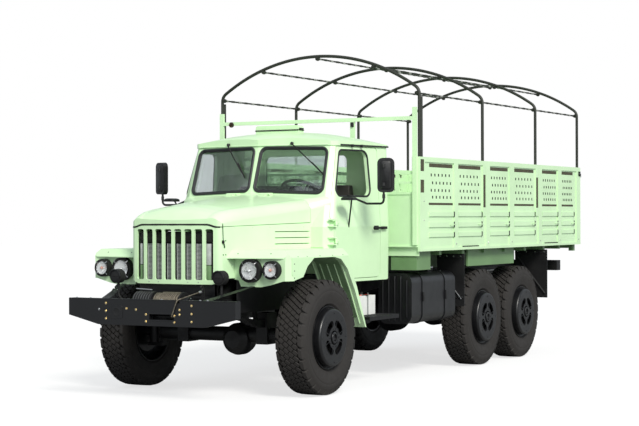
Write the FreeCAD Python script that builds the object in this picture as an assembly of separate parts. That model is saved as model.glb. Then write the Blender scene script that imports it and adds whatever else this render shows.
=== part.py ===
"""Six-wheel-drive bonneted cargo truck with a high-sided steel load bed and cover hoops.

Millimetres. X is the truck's left, Y runs to the rear, Z is up. Every piece is laid out
from the front axle (Y = 0) on the ground (Z = 0), and is moved at the end so that the
origin is the bottom centre of the whole truck.
"""
import FreeCAD, Part
import math
import os

V = FreeCAD.Vector

# ---------------------------------------------------------------- driving dimensions
FRONT_REACH = 1326.0        # front axle to bumper face
REAR_REACH = 6660.0         # front axle to the back of the load bed
WHEELBASE = 3687.0          # front axle to first rear axle
BOGIE = 1180.0              # first to second rear axle

TYRE_R = 551.0              # to the lugs' tips
TYRE_HALF = 159.0           # half width at the bulge
TREAD_HALF = 138.0
BEAD_R = 300.0
WHEEL_X = 1005.0            # wheel centre plane
HUB_FACE = 198.0            # outermost face of the dished disc, from the wheel plane
DISC_R = 276.0              # radius of the disc's drum-shaped wall
SLOTS_IN_DISC = 4
SPINDLE_R = 45.0
RUNNING = 0.1               # radial clearance of hubs and kingpins
KINGPIN_X = 860.0
KINGPIN_R = 20.0

RAIL_OUT = 430.0            # outer face of a frame rail
RAIL_FLANGE = 80.0
RAIL_T = 8.0
RAIL_BOTTOM = 870.0
RAIL_TOP = 1100.0
HORN_BOTTOM = 770.0
HORN_TOP = 930.0
RAIL_END = 6350.0

BUMPER_HALF = 920.0
BUMPER_TOP = 945.0
BUMPER_BOTTOM = 705.0
BUMPER_END = 787.0
BUMPER_KNEE = 580.0
BUMPER_T = 10.0
BUMPER_DEPTH = 90.0
FAIRLEAD_X = 130.0
FAIRLEAD_HALF = 135.0
FAIRLEAD_Z = (757.0, 820.0)
ROPE_R = 6.0
ROPE_PROUD = 20.0           # the rope stands this far ahead of the bumper's face
NOTCH = (278.0, 326.0, 917.0)          # x from, x to, z of the rope's notch in the bumper
ROLLER_R = 14.0
WINCH_Y = -1130.0
WINCH_Z = 910.0
DRUM_R = 80.0

NOSE_Y = -950.0             # crown of the nose in plan
NOSE_SIDE_Y = -910.0
NOSE_HALF = 495.0           # half width behind the nose corners
NOSE_CORNER = 62.0
NOSE_SEAM = -845.0
NOSE_BOTTOM = 1075.0
NOSE_TOP = 1603.0
COWL_Y = 410.0              # front face of the cab
COWL_HALF = 720.0           # half width of the bonnet at the cowl
SEAM_FRONT = 1612.0
SEAM_REAR = 1646.0
SHEET = 22.0                # thickness of bonnet and nose panels
SEAM_GAP = 6.0
SLOT_PITCH = 110.0
SLOT_HALF = 41.0
SLOT_Z = (1115.0, 1588.0)
LIP_RISE = 24.0             # the bonnet's front edge arches up by this much
SLOTS = 8
HOOD_HINGE_Z = 1918.0
LOUVRE_Y = (-130.0, 390.0)

FENDER_TOP = 1392.0
FENDER_LIP = 1314.0
FENDER_X = 1112.0
FENDER_T = 20.0
CREASE = 68.0               # run of the wing's sloped front and outer edges
LAMP_Y = -705.0             # plane of the lamp panel
LAMP_BOTTOM = 1050.0
BIG_LAMP = (723.0, 1203.0, 110.0)      # x, z, radius
SMALL_LAMP = (951.0, 1210.0, 86.0)

CAB_BOTTOM = 1050.0
CAB_FLOOR = 1130.0
CAB_WALL = 40.0
CAB_REAR = 1620.0
BELT = 1900.0
DRIP = 2415.0
GLASS_T = 6.0
GLASS_IN = 14.0
DOOR_GAP = 6.0
DOOR_FRONT = 500.0
DOOR_REAR = 1400.0
DOOR_BOTTOM = 1085.0
DASH_HALF = 770.0           # clear of the doors' front edges as they swing

BED_FRONT = 1820.0
BED_HALF = 1240.0
BED_TOP = 2326.0
BED_FLOOR = 1363.0
FLOOR_T = 30.0
SIDE_T = 16.0
SIDE_PROUD = 12.0
BEARER = 48.0
POST_HALF = 60.0
HOOP_Y = (1860.0, 3520.0, 5140.0, 6600.0)
HOOP_R = 17.0
SEAT = 0.3                  # gap at a seat between curved faces
HOOP_SKIN = 7.0             # wall left outside a hoop's socket
HOOP_X = BED_HALF - HOOP_SKIN - HOOP_R - SEAT
SOCKET_HALF = 40.0          # half width of a hoop's post
STAKE_Y = HOOP_Y[0] + 2.0 * HOOP_R + 9.0       # stakes that stand behind the front hoop's legs
HOOP_APEX = 3435.0
HOOP_ARC = 2060.0
HOOP_CORNER = 105.0
HOOP_FOOT = 1760.0
GATE_HALF = 1150.0
GATE_T = 45.0

TANK = (760.0, 1150.0, 1800.0, 2900.0, 570.0, 1100.0)
TANK_CORNER = 100.0
STRAP_T = 8.0
STEP_Y = (845.0, 1500.0)
STEP_Z = (660.0, 700.0)
STEP_X = (680.0, 1150.0)

AXLES = (WHEELBASE, WHEELBASE + BOGIE)
BED_Z = BED_FLOOR - FLOOR_T                 # underside of the floor sheet
SILL_TOP = BED_Z - BEARER
MIDDLE = (REAR_REACH - FRONT_REACH - ROPE_PROUD) / 2.0


# ---------------------------------------------------------------- helpers
def box(x0, x1, y0, y1, z0, z1):
    """Box between two corners."""
    return Part.makeBox(x1 - x0, y1 - y0, z1 - z0, V(x0, y0, z0))


def rod(radius, start, end):
    """Round bar from start to end."""
    axis = V(*end) - V(*start)
    return Part.makeCylinder(radius, axis.Length, V(*start), axis)


def ring(outer, inner, start, end):
    """Round tube from start to end."""
    return rod(outer, start, end).cut(rod(inner, start, end))


def fuse(shapes):
    """One shape out of several that meet."""
    return shapes[0].multiFuse(list(shapes[1:])).removeSplitter()


def flip(shape):
    """The same piece on the truck's other side."""
    return shape.mirror(V(0, 0, 0), V(1, 0, 0))


def both(shape):
    """A left-hand piece and its mirror image."""
    return [shape, flip(shape)]


def outline(points, spot):
    """Closed wire through (a, b) or (a, b, corner radius) points, placed by spot(a, b)."""
    count = len(points)
    starts = []
    for i, point in enumerate(points):
        here = V(point[0], point[1], 0)
        radius = point[2] if len(point) > 2 else 0.0
        if not radius:
            starts.append((here, None, here))
            continue
        back = (V(*points[i - 1][:2], 0) - here).normalize()
        ahead = (V(*points[(i + 1) % count][:2], 0) - here).normalize()
        half = back.getAngle(ahead) / 2.0
        inward = (back + ahead).normalize()
        reach = radius / math.tan(half)
        middle = here + inward * (radius / math.sin(half) - radius)
        starts.append((here + back * reach, middle, here + ahead * reach))
    edges = []
    for i, (enter, middle, leave) in enumerate(starts):
        if middle:
            edges.append(Part.Arc(spot(*enter[:2]), spot(*middle[:2]), spot(*leave[:2])).toShape())
        following = starts[(i + 1) % count][0]
        if (following - leave).Length > 1e-6:
            edges.append(Part.LineSegment(spot(*leave[:2]), spot(*following[:2])).toShape())
    return Part.Wire(edges)


def plate_x(points, x0, x1):
    """Plate with a (y, z) outline between two x planes."""
    wire = outline(points, lambda a, b: V(x0, a, b))
    return Part.Face(wire).extrude(V(x1 - x0, 0, 0))


def plate_y(points, y0, y1):
    """Plate with an (x, z) outline between two y planes."""
    wire = outline(points, lambda a, b: V(a, y0, b))
    return Part.Face(wire).extrude(V(0, y1 - y0, 0))


def plate_z(points, z0, z1):
    """Plate with an (x, y) outline between two z planes."""
    wire = outline(points, lambda a, b: V(a, b, z0))
    return Part.Face(wire).extrude(V(0, 0, z1 - z0))


def mirrored(half):
    """Closed outline from the points of its left half, front to rear."""
    return list(half) + [(-p[0],) + tuple(p[1:]) for p in reversed(half) if p[0] != 0.0]


def turned(profile, x0):
    """Ring turned about the X axis through the wheel centre from (x, r) points."""
    wire = outline(profile, lambda a, b: V(x0 + a, 0, TYRE_R + b))
    return Part.Face(wire).revolve(V(x0, 0, TYRE_R), V(1, 0, 0), 360)


def kidney(r0, r1, middle, spread, x0, x1):
    """Curved slot about the X axis through the wheel centre; angles in degrees."""
    def at(radius, angle):
        turn = math.radians(angle)
        return V(x0, radius * math.sin(turn), TYRE_R + radius * math.cos(turn))
    low, high, mid = middle - spread, middle + spread, (r0 + r1) / 2.0
    end = math.degrees((r1 - r0) / 2.0 / mid)
    edges = [
        Part.Arc(at(r1, low), at(r1, middle), at(r1, high)).toShape(),
        Part.Arc(at(r1, high), at(mid, high + end), at(r0, high)).toShape(),
        Part.Arc(at(r0, high), at(r0, middle), at(r0, low)).toShape(),
        Part.Arc(at(r0, low), at(mid, low - end), at(r1, low)).toShape(),
    ]
    return Part.Face(Part.Wire(edges)).extrude(V(x1 - x0, 0, 0))


def pipe(points, radius):
    """Round bar along straight runs joined by tangent arcs; points are (x, y, z, bend radius)."""
    edges = []
    last = V(*points[0][:3])
    for i in range(1, len(points) - 1):
        here = V(*points[i][:3])
        back = (V(*points[i - 1][:3]) - here).normalize()
        ahead = (V(*points[i + 1][:3]) - here).normalize()
        half = back.getAngle(ahead) / 2.0
        bend = points[i][3]
        reach = bend / math.tan(half)
        middle = here + (back + ahead).normalize() * (bend / math.sin(half) - bend)
        edges.append(Part.LineSegment(last, here + back * reach).toShape())
        edges.append(Part.Arc(here + back * reach, middle, here + ahead * reach).toShape())
        last = here + ahead * reach
    edges.append(Part.LineSegment(last, V(*points[-1][:3])).toShape())
    path = Part.Wire(edges)
    start = V(*points[0][:3])
    circle = Part.makeCircle(radius, start, V(*points[1][:3]) - start)
    return path.makePipeShell([Part.Wire([circle])], True, False)


# ---------------------------------------------------------------- chassis
CROSSMEMBERS = (            # y, half width along Y, bottom z, top z
    (-860.0, 35.0, 786.0, 900.0),
    (760.0, 40.0, 900.0, 1080.0),
    (1725.0, 60.0, 1000.0, 1080.0),
    (2700.0, 40.0, 900.0, 1080.0),
    (WHEELBASE + BOGIE / 2.0, 90.0, 900.0, 1080.0),
    (5600.0, 40.0, 900.0, 1080.0),
    (6310.0, 40.0, 885.0, 1085.0),
)

CAB_MOUNTS = (640.0, 1500.0)
HANGERS = (-745.0, 745.0)
BODY_REACH = 757.0          # how far the tank and box brackets reach out


def rail():
    """Left frame rail: a channel that opens inwards, stepped down to the front horn."""
    bumper_back = -FRONT_REACH + BUMPER_T
    side = [
        (RAIL_END, RAIL_BOTTOM), (RAIL_END, RAIL_TOP), (-560, RAIL_TOP), (-800, HORN_TOP),
        (bumper_back, HORN_TOP), (bumper_back, HORN_BOTTOM), (-860, HORN_BOTTOM), (-640, RAIL_BOTTOM),
    ]
    wire = outline(side, lambda a, b: V(RAIL_OUT - RAIL_FLANGE, a, b))
    inner = wire.makeOffset2D(-RAIL_T)
    channel = Part.Face(wire).extrude(V(RAIL_FLANGE, 0, 0))
    hollow = Part.Face(inner).extrude(V(RAIL_FLANGE - RAIL_T, 0, 0))
    return channel.cut(hollow)


def frame_rails():
    """Both rails with their spring hangers, cab mounts and bogie trunnions."""
    trunnion = AXLES[0] + BOGIE / 2.0
    pieces = [rail()]
    for y in HANGERS:
        pieces.append(box(RAIL_OUT - 10, SPRING_X + SPRING_HALF, y - 45, y + 45, 822, RAIL_BOTTOM + 60))
    for y in CAB_MOUNTS:
        pieces.append(box(RAIL_OUT - 70, RAIL_OUT - 10, y - 40, y + 40, RAIL_TOP, CAB_FLOOR))
    pieces += [
        box(RAIL_OUT - 20, RAIL_OUT + 40, trunnion - 150, trunnion + 150, TRUNNION_Z - 60, 960),
        rod(55, (RAIL_OUT, trunnion, TRUNNION_Z), (REAR_SPRING_X + 50, trunnion, TRUNNION_Z)),
        box(REAR_SPRING_X - 50, REAR_SPRING_X + 50, trunnion - 70, trunnion + 70, TRUNNION_Z, REAR_SPRING_SEAT),
    ]
    return both(fuse(pieces).cut(bogie_spring()))


def cross_members():
    """Cross-members between the rails; the last carries the rear tow eye."""
    web = RAIL_OUT - RAIL_T
    shapes = [box(-web, web, y - half, y + half, low, high) for y, half, low, high in CROSSMEMBERS]
    eye = box(-60, 60, 6340, 6520, TOW_Z - 20, TOW_Z + 20).cut(
        rod(TOW_R, (0, TOW_Y, TOW_Z - 30), (0, TOW_Y, TOW_Z + 30)))
    tail = fuse([shapes[-1], eye, box(-110, 110, 6340, 6365, TOW_Z - 70, TOW_Z + 70)])
    rails = Part.makeCompound(frame_rails())
    return [shape.cut(rails) for shape in shapes[:-1] + [tail]]


TOW_Z = 985.0
TOW_Y = 6470.0
TOW_R = 25.0
SPRING_X = 455.0
SPRING_HALF = 40.0
SPRING_EYE = 700.0          # half length of the front main leaf
REAR_SPRING_X = 560.0
TRUNNION_Z = 700.0
REAR_SPRING_SEAT = 772.0
LEAF_T = 12.0
LEAVES = 6


def leaf_pack(y, x, crown, rise, half, up):
    """Pack of leaves in the YZ plane; crown is the z of the main leaf's outer face at y."""
    radius = (half ** 2 + rise ** 2) / (2.0 * rise)
    sign = 1.0 if up else -1.0
    centre = crown + sign * radius
    leaves = []
    for i in range(LEAVES):
        near = radius + i * LEAF_T
        far = near + LEAF_T
        turn = (half - i * half / (LEAVES + 1.5)) / radius
        def at(r, a):
            return V(x - SPRING_HALF, y + r * math.sin(a), centre - sign * r * math.cos(a))
        edges = [
            Part.Arc(at(near, -turn), at(near, 0), at(near, turn)).toShape(),
            Part.LineSegment(at(near, turn), at(far, turn)).toShape(),
            Part.Arc(at(far, turn), at(far, 0), at(far, -turn)).toShape(),
            Part.LineSegment(at(far, -turn), at(near, -turn)).toShape(),
        ]
        leaves.append(Part.Face(Part.Wire(edges)).extrude(V(2 * SPRING_HALF, 0, 0)))
    return fuse(leaves)


FRONT_CROWN = 702.0
FRONT_RISE = 120.0
REAR_RISE = 92.0


def bogie_spring():
    """Left spring of the rear bogie, bent down to both axles."""
    middle = AXLES[0] + BOGIE / 2.0
    return leaf_pack(middle, REAR_SPRING_X, REAR_SPRING_SEAT, REAR_RISE, BOGIE / 2.0 + 40, False)


def front_spring():
    """Left front spring."""
    return leaf_pack(0, SPRING_X, FRONT_CROWN, FRONT_RISE, SPRING_EYE, True)


def leaf_springs():
    """Front springs under the rails and the two bogie springs on their trunnions."""
    return both(front_spring()) + both(bogie_spring())


def housing(x, y, radius, half):
    """Round differential housing with domed sides that face along Y."""
    profile = [(0.0, -half), (radius * 0.55, -half + 8), (radius * 0.9, -half * 0.6), (radius, -half * 0.25),
               (radius, half * 0.25), (radius * 0.9, half * 0.6), (radius * 0.55, half - 8), (0.0, half)]
    wire = outline(profile, lambda a, b: V(x + a, y + b, DIFF_Z))
    return Part.Face(wire).revolve(V(x, y, DIFF_Z), V(0, 1, 0), 360)


FORK = (735.0, 765.0, 910.0)           # inner face, outer face and lug ends of a kingpin fork
AXLE_TUBE = 72.0
DIFF_X = 150.0
DIFF_Z = TYRE_R - 43.0


def front_axle():
    """Driven front beam with its offset differential, spring pads and kingpin forks."""
    low = TYRE_R
    shapes = [
        rod(AXLE_TUBE, (-FORK[0] - 10, 0, low), (FORK[0] + 10, 0, low)),
        housing(DIFF_X, 0, 157, 150),
        rod(55, (DIFF_X, 0, low + 36), (DIFF_X, 220, low + 36)),
    ]
    fork = [
        box(FORK[0], FORK[1], -40, 40, low - 140, low + 140),
        box(FORK[0], FORK[2], -50, 50, low + 110, low + 140),
        box(FORK[0], FORK[2], -50, 50, low - 140, low - 110),
        rod(KINGPIN_R, (KINGPIN_X, 0, low - 111), (KINGPIN_X, 0, low + 111)),
        box(SPRING_X - 62, SPRING_X + 62, -95, 95, low - 84, FRONT_CROWN + 70),
    ]
    for piece in fork:
        shapes += both(piece)
    spring = front_spring()
    return fuse(shapes).cut(spring).cut(flip(spring))


DIFF_R = 195.0


def rear_axle(y):
    """Driven rear beam with a central differential, spring pads and the hub spindles."""
    low = TYRE_R
    pad_top = REAR_SPRING_SEAT - REAR_RISE
    spring_end = bogie_spring()
    shapes = [
        rod(75, (-880, y, low), (880, y, low)),
        rod(DIFF_R, (0, y - 80, low), (0, y + 80, low)),
        Part.makeCone(110, DIFF_R, 90, V(0, y - 170, low), V(0, 1, 0)),
        Part.makeCone(DIFF_R, 110, 90, V(0, y + 80, low), V(0, 1, 0)),
        rod(60, (0, y - 260, low + 70), (0, y + 260, low + 70)),
    ]
    shapes += both(rod(SPINDLE_R, (870, y, low), (WHEEL_X + 140, y, low)))
    shapes += both(box(REAR_SPRING_X - 45, REAR_SPRING_X + 45, y - 60, y + 60, low, pad_top + 14))
    return fuse(shapes).cut(spring_end).cut(flip(spring_end))


def rear_axles():
    """Both rear axles."""
    return [rear_axle(y) for y in AXLES]


ARM_BACK = 280.0            # steering arm from the kingpin to the track rod
ARM_IN = 50.0
ARM_T = 22.0
ROD_Z = 22.0                # track rod above the arm's top face


def knuckle():
    """Left steering knuckle with its spindle and track-rod arm."""
    low = TYRE_R
    barrel = rod(52, (KINGPIN_X, 0, low - 109), (KINGPIN_X, 0, low + 109))
    arm_z = low - 104
    arm = plate_z([(KINGPIN_X - 45, 0), (KINGPIN_X + 45, 0), (KINGPIN_X - ARM_IN + 28, ARM_BACK, 20),
                   (KINGPIN_X - ARM_IN + 28, ARM_BACK + 30, 20), (KINGPIN_X - ARM_IN - 28, ARM_BACK + 30, 20),
                   (KINGPIN_X - ARM_IN - 28, ARM_BACK, 20)], arm_z, arm_z + ARM_T)
    body = fuse([barrel, rod(SPINDLE_R, (KINGPIN_X, 0, low), (WHEEL_X + 140, 0, low)), arm])
    bore = rod(KINGPIN_R + RUNNING, (KINGPIN_X, 0, low - 120), (KINGPIN_X, 0, low + 120))
    return body.cut(bore)


def track_rod():
    """Rod that joins the two steering arms, on ball pins above them."""
    z = TYRE_R - 104 + ARM_T
    x = KINGPIN_X - ARM_IN
    bar = rod(16, (-x, ARM_BACK, z + ROD_Z), (x, ARM_BACK, z + ROD_Z))
    ends = both(rod(24, (x, ARM_BACK, z + SEAT), (x, ARM_BACK, z + ROD_Z + 20)))
    return fuse([bar] + ends)


# ---------------------------------------------------------------- wheels
LUGS = 30
LUG_DEPTH = 22.0
LUG_SHARE = 0.62            # of the pitch
LUG_OVER = 4.0              # a lug's end beyond the tread


def polygon(x, radii):
    """Wire in the plane x about the wheel centre; radii are (angle in degrees, flat radius)."""
    points = [V(x, r * math.sin(math.radians(a)), TYRE_R - r * math.cos(math.radians(a))) for a, r in radii]
    return Part.makePolygon(points + [points[0]])


def facets(x, flat):
    """Regular wire whose flats touch the given radius."""
    turn = 360.0 / LUGS
    corner = flat / math.cos(math.radians(turn / 2.0))
    return polygon(x, [(turn * (i + 0.5), corner) for i in range(LUGS)])


def faceted(places):
    """Solid through facet rings given as (x from the wheel's plane, flat radius)."""
    return Part.makeLoft([facets(WHEEL_X + x, r) for x, r in places], True, True)


def lug_ring(deep):
    """Ring of lugs that stand on the carcass, one on each facet."""
    turn = 360.0 / LUGS
    half = turn * LUG_SHARE / 2.0
    top = TYRE_R / math.cos(math.radians(half))
    foot = (deep - 6) / math.cos(math.radians(half + 0.8))
    teeth = []
    for i in range(LUGS):
        middle = i * turn
        teeth += [(middle - half - 0.8, foot), (middle - half, top), (middle + half, top), (middle + half + 0.8, foot)]
    reach = TREAD_HALF + LUG_OVER
    disc = Part.Face(polygon(WHEEL_X - reach, teeth)).extrude(V(2 * reach, 0, 0))
    return disc.cut(faceted([(-reach - 5, deep - 40), (reach + 5, deep - 40)]))


def tyre():
    """Tyre on the left wheel plane, at the front axle: a faceted, dished carcass with its lugs."""
    h, t, b = TYRE_HALF, TREAD_HALF, BEAD_R + SEAT
    deep = TYRE_R - LUG_DEPTH
    outer = [(t, deep), (h - 2, b + 160), (h, b + 118)]
    body = faceted([(-x, r) for x, r in reversed(outer)] + outer).fuse(lug_ring(deep))
    dish = [(t - 26, b + 12), (h + 5, b + 12 + (106.0 / (h - t + 26)) * (h - t + 31))]
    body = body.cut(faceted(dish)).cut(faceted([(-x, r) for x, r in reversed(dish)]))
    return body.cut(faceted([(-h - 10, b), (h + 10, b)])).removeSplitter()


def wheel():
    """Rim, outward-dished slotted disc, brake drum and hub of the left wheel."""
    rim = turned([(-125, 285), (125, 285), (132, 296), (132, 303), (124, 303), (114, BEAD_R), (-114, BEAD_R),
                  (-124, 303), (-132, 303), (-132, 296)], WHEEL_X)
    face = HUB_FACE
    disc = turned([(60, 290), (120, 290), (118, 279), (face, DISC_R, 24), (face, 70), (face - 12, 70),
                   (face - 12, DISC_R - 13, 12), (104, DISC_R - 12), (104, 276), (60, 276)], WHEEL_X)
    drum = turned([(-60, 60), (-60, 205), (50, 205), (50, 60)], WHEEL_X)
    hub = turned([(40, SPINDLE_R + RUNNING), (40, 110), (90, 110), (120, 90), (face - 8, 76), (face - 8, 66),
                  (150, 60), (150, SPINDLE_R + RUNNING)], WHEEL_X)
    bearing = turned([(-60, SPINDLE_R + RUNNING), (-60, 62), (45, 62), (45, SPINDLE_R + RUNNING)], WHEEL_X)
    body = fuse([rim, disc, drum, hub, bearing])
    for i in range(SLOTS_IN_DISC):
        turn = 360.0 / SLOTS_IN_DISC * (i + 0.5)
        body = body.cut(kidney(108, 170, turn, 25, WHEEL_X + 120, WHEEL_X + 240))
    return body


WHEEL_PLACES = (            # node suffix, axle y, on the left
    ("front_left", 0.0, True), ("front_right", 0.0, False),
    ("middle_left", AXLES[0], True), ("middle_right", AXLES[0], False),
    ("rear_left", AXLES[1], True), ("rear_right", AXLES[1], False),
)


# ---------------------------------------------------------------- drive line
def engine():
    """In-line engine as one plain block with its sump."""
    block = box(-270, 270, -640, 330, 930, 1440)
    sump = box(-190, 190, -560, 180, 705, 930)
    mounts = both(box(270, RAIL_OUT - RAIL_T, -60, 20, 1000, 1040))
    return fuse([block, sump] + mounts)


def gearbox():
    """Gearbox behind the engine and the transfer case under its cross-member."""
    main = plate_x([(330, 700), (330, 1110), (520, 1110), (700, 1060), (1050, 1010), (1050, 770)], -150, 150)
    main = main.cut(box(-500, 500, 715, 805, 895, 1200))
    transfer = plate_y([(-200, 640, 40), (220, 640, 40), (220, 1000), (-200, 1000)], 1520, 1900)
    return [main, transfer]


def shaft(start, end):
    """Prop shaft between two flanges that face along Y."""
    flange = V(0, 30, 0)
    first, last = V(*start), V(*end)
    return fuse([
        rod(62, first, first + flange),
        rod(62, last - flange, last),
        rod(48, first + flange * 0.5, first + flange * 2.0),
        rod(48, last - flange * 2.0, last - flange * 0.5),
        rod(38, first + flange * 1.6, last - flange * 1.6),
    ])


def propshafts():
    """Shafts from the gearbox to the transfer case and from there to the three axles."""
    level = TYRE_R + 70
    return [
        shaft((0, 1050, 900), (0, 1520, 880)),
        shaft((150, 220, TYRE_R + 36), (150, 1520, 740)),
        shaft((0, 1900, 740), (0, AXLES[0] - 260, level)),
        shaft((0, AXLES[0] + 260, level), (0, AXLES[1] - 260, level)),
    ]


def radiator():
    """Radiator with its top tank and the bracket that stands on the frame horns."""
    foot = box(-RAIL_OUT, RAIL_OUT, -895, -815, HORN_TOP, 960)
    posts = both(box(395, 420, -880, -830, 950, 1560))
    core = box(-400, 400, -885, -825, 1085, 1470)
    tank = box(-400, 400, -895, -820, 1465, 1565)
    return fuse([foot, core, tank] + posts)


def exhaust():
    """Silencer under the right-hand rail with its outlet pipe."""
    can = rod(105, (-600, 1050, 850), (-600, 1680, 850))
    outlet = pipe([(-600, 1680, 850, 0), (-600, 1850, 850, 90), (-1080, 1850, 760, 0)], 38)
    strap = box(-600, -RAIL_OUT, 1230, 1280, 940, 975)
    return fuse([can, outlet, strap])


# ---------------------------------------------------------------- front end
def front_bumper():
    """Folded steel bumper with the roller fairlead behind its window."""
    face_y = -FRONT_REACH
    points = [
        (-BUMPER_HALF, BUMPER_TOP), (BUMPER_HALF, BUMPER_TOP), (BUMPER_HALF, BUMPER_END),
        (BUMPER_KNEE, BUMPER_BOTTOM), (-BUMPER_KNEE, BUMPER_BOTTOM), (-BUMPER_HALF, BUMPER_END),
    ]
    back = face_y + BUMPER_DEPTH
    wire = outline(points, lambda a, b: V(a, face_y + BUMPER_T, b))
    channel = Part.Face(wire).extrude(V(0, BUMPER_DEPTH - BUMPER_T, 0))
    hollow = Part.Face(wire.makeOffset2D(-BUMPER_T)).extrude(V(0, BUMPER_DEPTH, 0))
    lip = channel.cut(hollow)
    low, high = FAIRLEAD_Z
    window = box(FAIRLEAD_X - FAIRLEAD_HALF, FAIRLEAD_X + FAIRLEAD_HALF, face_y - 5, back, low, high)
    plate = plate_y(points, face_y, face_y + BUMPER_T).cut(window)
    roller_y = face_y + BUMPER_T + ROLLER_R + 8
    end = FAIRLEAD_HALF + 12
    parts = [lip, plate]
    for side in (-1, 1):
        x = FAIRLEAD_X + side * end
        parts.append(box(x - 12, x + 12, face_y + BUMPER_T, roller_y + 30, low - 30, high + 30))
    for z in (low - 6, high + 6):
        parts.append(rod(ROLLER_R, (FAIRLEAD_X - end, roller_y, z), (FAIRLEAD_X + end, roller_y, z)))
    low_end = Part.makePolygon([V(x, y, BUMPER_TOP - 4) for x, y in (
        (508, back - 12), (606, back - 12), (606, back), (508, back), (508, back - 12))])
    high_end = Part.makePolygon([V(x, y, LAMP_BOTTOM + 6) for x, y in (
        (703, LAMP_Y - 12), (757, LAMP_Y - 12), (757, LAMP_Y), (703, LAMP_Y), (703, LAMP_Y - 12))])
    stay = Part.makeLoft([low_end, high_end], True, True)
    parts += both(stay)
    x0, x1, z = NOTCH
    parts = fuse(parts).cut(box(x0, x1, face_y - 5, back + 5, z, BUMPER_TOP + 5))
    return parts.cut(rail()).cut(flip(rail()))


def winch():
    """Winch on its base plate between the frame horns."""
    base = box(-(RAIL_OUT - RAIL_T), RAIL_OUT - RAIL_T, -1240, -1010, HORN_BOTTOM + RAIL_T, 796)
    drum = rod(DRUM_R, (-60, WINCH_Y, WINCH_Z), (240, WINCH_Y, WINCH_Z))
    cheeks = [rod(102, (x, WINCH_Y, WINCH_Z), (x + 14, WINCH_Y, WINCH_Z)) for x in (-74, 240)]
    gear = rod(95, (-270, WINCH_Y, WINCH_Z), (-74, WINCH_Y, WINCH_Z))
    bearing = rod(60, (254, WINCH_Y, WINCH_Z), (320, WINCH_Y, WINCH_Z))
    feet = [box(x, x + 40, WINCH_Y - 70, WINCH_Y + 70, 790, WINCH_Z) for x in (-250, -120, 268)]
    return fuse([base, drum, gear, bearing] + cheeks + feet)


ROPE_PATH = (               # x, y, z, bend radius
    (205.0, WINCH_Y, WINCH_Z - DRUM_R - ROPE_R - SEAT, 0.0),
    (243.0, -FRONT_REACH - ROPE_PROUD + ROPE_R, 790.0, 16.0),
    (302.0, -FRONT_REACH - ROPE_PROUD + ROPE_R + 5.0, 944.0, 22.0),
    (372.0, -1046.0, 1010.0, 0.0),
)
HOOK_POST = (372.0, -1010.0)


def winch_rope():
    """Rope from the drum through the fairlead, up over the bumper and back to its parked hook."""
    x, y, z, _ = ROPE_PATH[-1]
    eye = rod(16, (x - 8, y + 6, z + 4), (x + 8, y + 6, z + 4))
    hook = plate_x([(y, z - 10), (y + 30, z + 8), (y + 30, z + 40), (y + 14, z + 40), (y + 12, z + 22), (y - 8, z + 10)],
                   x - 8, x + 8)
    return fuse([pipe(ROPE_PATH, ROPE_R), eye, hook])


def hook_post():
    """Post on the left frame horn that the hook is parked against."""
    x, y = HOOK_POST
    top = ROPE_PATH[-1][2] + 44
    return fuse([box(x - 14, x + 14, y - 6 + SEAT, y + 14, HORN_TOP, top), box(x - 30, x + 30, y - 6, y + 50, HORN_TOP,
                                                                          HORN_TOP + 12)])


def nose_prism(inset, z0, z1):
    """Column with the plan of the bonnet and nose: a curved front, round corners, flaring sides."""
    slope = (COWL_HALF - NOSE_HALF) / (COWL_Y - NOSE_SIDE_Y)
    half = NOSE_HALF - inset
    side = NOSE_SIDE_Y + inset
    tail_y = COWL_Y + 300.0
    tail_x = half + slope * (tail_y - side)
    body = plate_z([(-half, side, NOSE_CORNER), (-tail_x, tail_y), (tail_x, tail_y), (half, side, NOSE_CORNER)],
                   z0, z1)
    sag = NOSE_SIDE_Y - NOSE_Y
    chord = NOSE_HALF - NOSE_CORNER * 0.8
    radius = (chord ** 2 + sag ** 2) / (2.0 * sag)
    arc = Part.makeCylinder(radius - inset, z1 - z0, V(0, NOSE_Y + radius, z0))
    reach = NOSE_HALF - inset - NOSE_CORNER * 0.62
    bulge = arc.common(box(-reach, reach, NOSE_Y - 10, side + 200, z0, z1))
    return body.fuse(bulge).removeSplitter()


def lip(z):
    """Arched seam between the nose and the bonnet, left to right in X."""
    return [(-560, z), (-438, z, 70), (-368, z + LIP_RISE, 70), (368, z + LIP_RISE, 70), (438, z, 70), (560, z)]


def grille_shell():
    """Nose shell with its eight upright slots."""
    front = plate_y(lip(NOSE_TOP) + [(520, NOSE_BOTTOM + 50), (420, NOSE_BOTTOM, 60),
                                     (-420, NOSE_BOTTOM, 60), (-520, NOSE_BOTTOM + 50)], NOSE_Y - 20, NOSE_SEAM)
    high = NOSE_TOP + LIP_RISE + 10
    shell = nose_prism(0, NOSE_BOTTOM, high).cut(nose_prism(SHEET, NOSE_BOTTOM - 10, high + 10))
    shell = shell.common(front)
    low, high = SLOT_Z
    for i in range(SLOTS):
        x = (i - (SLOTS - 1) / 2.0) * SLOT_PITCH
        slot = plate_y([(x - SLOT_HALF, low, 14), (x + SLOT_HALF, low, 14), (x + SLOT_HALF, high, 20),
                        (x - SLOT_HALF, high, 20)], NOSE_Y - 20, NOSE_SIDE_Y + 60)
        shell = shell.cut(slot)
    return shell


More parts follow.
